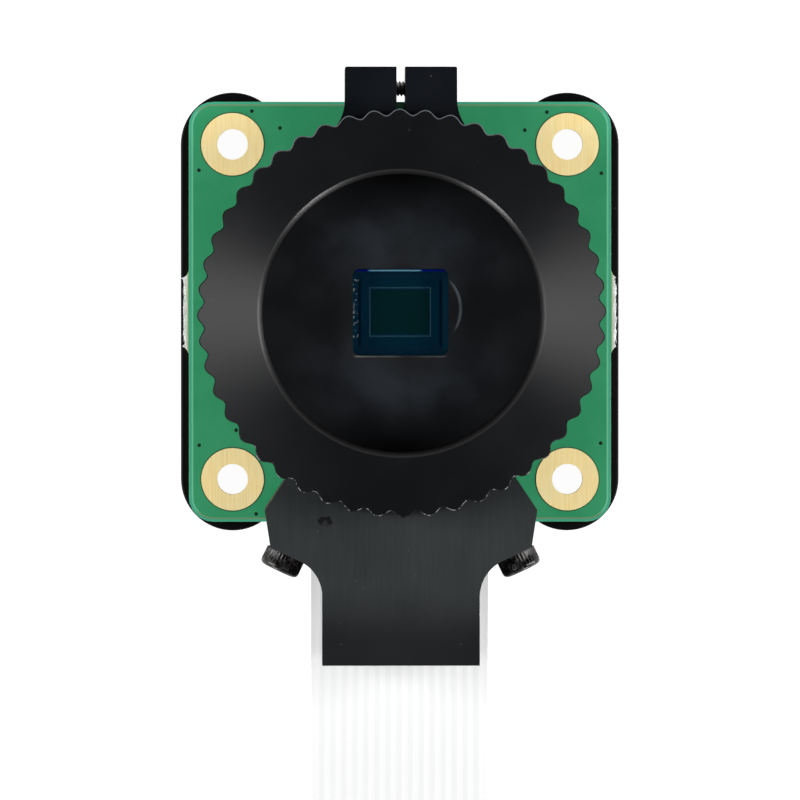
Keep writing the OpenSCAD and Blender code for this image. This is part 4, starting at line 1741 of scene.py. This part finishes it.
@dataclass
class Board:
    """The circuit board with its mask, vias and the torn fibres of its break-off tabs."""

    width: float = 37.8
    height: float = 37.6
    corner_r: float = 2.2
    hole_xy: float = 15.0
    pad_r: float = 2.8
    edge: float = 0.05
    tab_l: float = 7.2
    torn_share: float = 0.74
    torn_out: float = 0.2
    torn_depth: float = 0.26
    fibres: int = 150
    fibre_r: float = 0.03
    fibre_low: float = 0.1
    fibre_span: float = 0.88
    golden_step: float = 0.618034
    via_r: float = 0.17
    via_dome: tuple[tuple[float, float], ...] = (
        (1.0, -0.02), (1.0, 0.003), (0.7, 0.008), (0.3, 0.004)
    )
    via_sides: int = 20
    vias: tuple[tuple[float, float], ...] = (
        (-13.26, 17.97), (-10.75, 16.45), (-18.0, 12.68), (-18.0, -11.95), (-12.9, -18.1),
        (13.16, 17.88), (11.19, 16.27), (18.05, 12.42), (18.0, -11.77), (-14.69, -10.6),
    )

    def build(self, finishes: Finishes) -> list[Piece]:
        """Makes the board and what shows on it.

        Args:
            finishes: The module's finishes.

        Returns:
            The pieces.
        """
        mask = SolderMask(self.width, self.height, self.corner_r, self.hole_xy, self.pad_r)
        green = mask.material()
        board = machined_copy("circuit_board", "green_board", self.edge)
        dress(board, "solder_mask", green, green)
        return [board, self.tented_vias(finishes), self.torn_fibres(finishes)]

    def tented_vias(self, finishes: Finishes) -> Piece:
        """Makes the small mask-covered vias.

        Args:
            finishes: The module's finishes.

        Returns:
            The vias.
        """
        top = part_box("circuit_board")[1].z / MM
        dome = spun_shape([(self.via_r * share, z) for share, z in self.via_dome], self.via_sides)
        points = [(x, y, top) for x, y in self.vias]
        return scattered("tented_vias", points, dome, finishes.via.material())

    def torn_fibres(self, finishes: Finishes) -> Piece:
        """Makes the loose glass fibres along the two snapped tabs.

        Args:
            finishes: The module's finishes.

        Returns:
            The fibres.
        """
        low, high = (corner.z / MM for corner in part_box("circuit_board"))
        points: list[Point] = []
        for side in (-1, 1):
            for i in range(self.fibres):
                out = self.width / 2 + self.torn_out + self.torn_depth * chance(i, 2)
                along = (i * self.golden_step) % 1.0 - 0.5
                up = self.fibre_low + self.fibre_span * chance(i, 1)
                points.append((side * out, along * self.tab_l * self.torn_share,
                               low + (high - low) * up))
        r = self.fibre_r
        corners = [(0, -0.5, 0), (r, 0, 0), (0, 0, r), (-r, 0, 0), (0, 0, -r), (0, 0.5, 0)]
        faces = [(0, 2, 1), (0, 3, 2), (0, 4, 3), (0, 1, 4), (5, 1, 2), (5, 2, 3), (5, 3, 4),
                 (5, 4, 1)]
        return scattered(
            "torn_fibres", points, bare_shape(corners, faces), finishes.fibre.material(),
            turn=((-0.12, 0, -0.3), (0.12, 0, 0.3)),
            size=((0.5, 0.4, 0.6), (1.4, 1.3, 1.2)), seed=11,
        )


@dataclass
class Optics:
    """The sensor under its lid, and the blue filter held by adhesive."""

    aperture_w: float = 8.55
    aperture_h: float = 7.75
    rim_inset: float = 0.16
    specks: int = 34
    specks_in: float = 0.1
    specks_spread: float = 0.46
    specks_from: float = -2.2
    specks_length: float = 5.2
    speck: tuple[tuple[float, float], ...] = ((0.06, 0.0), (0.05, 0.03), (0.025, 0.05))
    speck_sides: int = 8

    def build(self, finishes: Finishes) -> list[Piece]:
        """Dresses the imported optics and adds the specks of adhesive.

        Args:
            finishes: The module's finishes.

        Returns:
            The piece that was added.
        """
        # The filter's rim colour and glint are a painted reflection along the aperture's top edge.
        filter_glass = Glass(
            "filter_glass", srgb(0, 30, 56), 0.3, rim=srgb(6, 16, 150),
            rim_y=self.aperture_h / 2 - self.rim_inset,
        )
        dress_node("ir_cut_filter", filter_glass.material())
        dress_node("sensor_lid", Glass("clear_glass", srgb(30, 60, 70), 0.08).material())
        dress_node("sensor_die", Die().material())
        dress_node("image_sensor", finishes.ceramic.material())
        adhesive = finishes.adhesive.material()
        dress_node("filter_adhesive", adhesive)
        return [self.adhesive_specks(adhesive)]

    def adhesive_specks(self, adhesive: bpy.types.Material) -> Piece:
        """Makes the dried specks of adhesive at the aperture's left edge.

        Args:
            adhesive: Their material.

        Returns:
            The specks.
        """
        glass_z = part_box("ir_cut_filter")[1].z / MM
        left = self.specks_in - self.aperture_w / 2
        points = [
            (left + self.specks_spread * chance(i, 3) ** 2,
             self.specks_from + self.specks_length * chance(i, 4), glass_z)
            for i in range(self.specks)
        ]
        shape = spun_shape(self.speck, self.speck_sides)
        return scattered(
            "adhesive_specks", points, shape, adhesive,
            turn=((0, 0, 0), (0, 0, 3.1)), size=((0.3, 0.3, 0.4), (0.9, 1.7, 1.2)), seed=5,
        )


@dataclass
class Connector:
    """The ribbon connector and its sliding latch."""

    edge: float = 0.08

    def build(self, finishes: Finishes) -> list[Piece]:
        """Makes the connector's body and latch, and dresses its metal.

        Args:
            finishes: The module's finishes.

        Returns:
            The pieces.
        """
        plastic, latch = finishes.connector.material(), finishes.latch.material()
        body = machined_copy("ribbon_connector", "connector_body", self.edge / 2)
        dress(body, "connector_plastic", plastic, plastic)
        slide = machined_copy("connector_latch", "pull_latch", self.edge, Body.LATCH)
        dress(slide, "latch_plastic", latch, latch)
        for node in ("connector_contacts", "connector_hold_downs", "ribbon_contacts"):
            dress_node(node, finishes.tin.material())
        dress_node("ribbon_stiffeners", finishes.stiffener.material())
        return [body, slide]


@dataclass
class Rear:
    """The cover behind the board, its screws and the parts soldered inside it."""

    edge: float = 0.2

    def build(self, finishes: Finishes) -> list[Piece]:
        """Makes the cover and its screws, and dresses the small parts.

        Args:
            finishes: The module's finishes.

        Returns:
            The pieces.
        """
        shell = machined_copy("rear_cover", "lobed_cover", self.edge)
        black = finishes.cover.material()
        dress(shell, "cover_anodised", black, black)
        low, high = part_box("housing_screws")
        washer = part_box("screw_washers")[0].z / MM
        across = (high.x - low.x) / 2 / MM - CapScrews().head_r
        places = [
            Matrix.Translation((side * across, 0.0, washer)) @ Matrix.Rotation(math.pi, 4, "X")
            for side in (1, -1)
        ]
        shank = high.z / MM - washer
        screws = CapScrews().build(
            "rear_screws", "housing_screws", shank, places, finishes.black_steel
        )
        for node, surface in (
            ("screw_washers", finishes.bright_steel),
            ("housing_gasket", finishes.rubber),
            ("hole_pads", finishes.gold),
            ("voltage_regulators", finishes.chip),
            ("logic_chip", finishes.chip),
            ("clock_oscillator", finishes.can),
            ("chip_capacitors", finishes.capacitor),
            ("chip_resistors", finishes.chip),
            ("chip_inductors", finishes.inductor),
        ):
            dress_node(node, surface.material())
        return [shell, screws]


# ---------------------------------------------------------------------------------- studio


@dataclass(frozen=True)
class SoftLight:
    """A soft rectangular light that faces the module."""

    name: str
    place: Point
    width: float
    height: float
    watts: float

    def build(self) -> None:
        """Makes the light."""
        data = bpy.data.lights.new(self.name, "AREA")
        data.shape = "RECTANGLE"
        data.size, data.size_y = self.width * MM, self.height * MM
        data.energy = self.watts
        light = bpy.data.objects.new(self.name, data)
        light.visible_camera = False
        bpy.context.scene.collection.objects.link(light)
        spot = Vector(self.place) * MM
        turn = spot.to_track_quat("Z", "Y").to_matrix().to_4x4()
        light.matrix_world = Matrix.Translation(spot) @ turn


@dataclass
class Studio:
    """Camera, floor, side lights, a dark screen overhead and a pale room."""

    eye: Point = (-8.5, 7.3, 741.2)
    aim: Point = (0.0, -7.9, 6.2)
    lens: float = 369.3
    clip: tuple[float, float] = (0.05, 10.0)
    room: float = 0.95
    lights: tuple[SoftLight, ...] = (
        SoftLight("side_light_left", (-460.0, 0.0, 300.0), 260.0, 460.0, 3.5),
        SoftLight("low_light_left", (-330.0, -420.0, 34.0), 160.0, 50.0, 1.0),
        SoftLight("side_light_right", (460.0, 0.0, 300.0), 260.0, 460.0, 3.5),
        SoftLight("low_light_right", (330.0, -420.0, 34.0), 160.0, 50.0, 1.0),
        SoftLight("low_light_far", (480.0, 40.0, 36.0), 200.0, 50.0, 0.4),
    )
    floor_half: float = 4000.0
    floor_colour: Colour = (0.88, 0.88, 0.88, 1.0)
    floor_seen: Colour = (0.22, 0.22, 0.22, 1.0)
    floor_glow: float = 0.97
    screen_half: float = 850.0
    screen_z: float = 520.0
    screen_colour: Colour = (0.02, 0.02, 0.02, 1.0)

    def build(self) -> None:
        """Makes the camera, floor, lights, screen and room."""
        self.camera()
        self.floor()
        for light in self.lights:
            light.build()
        self.screen()
        self.world()

    def camera(self) -> None:
        """Makes the camera, level with the board's sides."""
        data = bpy.data.cameras.new("camera")
        data.lens = self.lens
        data.clip_start, data.clip_end = self.clip
        camera = bpy.data.objects.new("camera", data)
        bpy.context.scene.collection.objects.link(camera)
        eye, aim = Vector(self.eye) * MM, Vector(self.aim) * MM
        back = (eye - aim).normalized()
        right = Vector((0.0, 1.0, 0.0)).cross(back).normalized()
        turn = Matrix((right, back.cross(right), back)).transposed().to_4x4()
        camera.matrix_world = Matrix.Translation(eye) @ turn
        bpy.context.scene.camera = camera

    def square(self, name: str, half: float, z: float, order: Sequence[int]) -> Piece:
        """Makes a level square about the Z axis.

        Args:
            name: Its name.
            half: Half its side.
            z: Its height.
            order: The order of its corners, which says which way it faces.

        Returns:
            The square's object.
        """
        corners = [(-half, -half, z), (half, -half, z), (half, half, z), (-half, half, z)]
        return plain_mesh(name, corners, [order])

    def floor(self) -> None:
        """Makes the plain pale floor that the cover stands on."""
        floor = self.square("floor", self.floor_half, 0.0, (0, 1, 2, 3))
        made = Material("floor")
        path = made.add("ShaderNodeLightPath").outputs
        seen = made.plus(path["Is Camera Ray"], path["Is Glossy Ray"])
        seen = made.math("ADD", seen, path["Is Transmission Ray"], clamp=True)
        colour = made.blend(seen, self.floor_colour, self.floor_seen)
        made.set(Base_Color=colour, Roughness=0.9, Specular_IOR_Level=0.0)
        inputs = {"Color": (1, 1, 1, 1), "Strength": made.times(seen, self.floor_glow)}
        glow = made.add("ShaderNodeEmission", inputs).outputs[0]
        total = made.add("ShaderNodeAddShader", {0: made.shader.outputs[0], 1: glow}).outputs[0]
        made.link(total, made.tree.nodes["Material Output"].inputs[0])
        cover(floor, made.data)

    def screen(self) -> None:
        """Makes the dark screen overhead, which keeps faces that look up from glaring."""
        screen = self.square("overhead_screen", self.screen_half, self.screen_z, (3, 2, 1, 0))
        screen.visible_camera = False
        made = Material("overhead_screen")
        made.set(Base_Color=self.screen_colour, Roughness=1.0, Specular_IOR_Level=0.0)
        cover(screen, made.data)

    def world(self) -> None:
        """Makes a room of even white light."""
        world = bpy.data.worlds.new("room")
        bpy.context.scene.world = world
        world.use_nodes = True
        background = world.node_tree.nodes["Background"]
        background.inputs[0].default_value = (1, 1, 1, 1)
        sky = Graph(world.node_tree)
        seen = sky.add("ShaderNodeLightPath").outputs["Is Camera Ray"]
        sky.link(sky.scale_to(seen, self.room, 1.0), background.inputs[1])
        bpy.context.scene.view_settings.view_transform = "Standard"


def main() -> None:
    """Builds the studio and every sub-assembly, and reports each piece."""
    logging.basicConfig(level=logging.INFO, format="%(message)s")
    finishes = Finishes()
    Studio().build()
    parts = (
        Ribbon(), FocusRing(), Housing(), TripodMount(), Board(), Optics(), Connector(), Rear()
    )
    for part in parts:
        for piece in part.build(finishes):
            LOG.info("%s: %d faces", piece.name, len(piece.data.polygons))


if __name__ == "__main__":
    main()
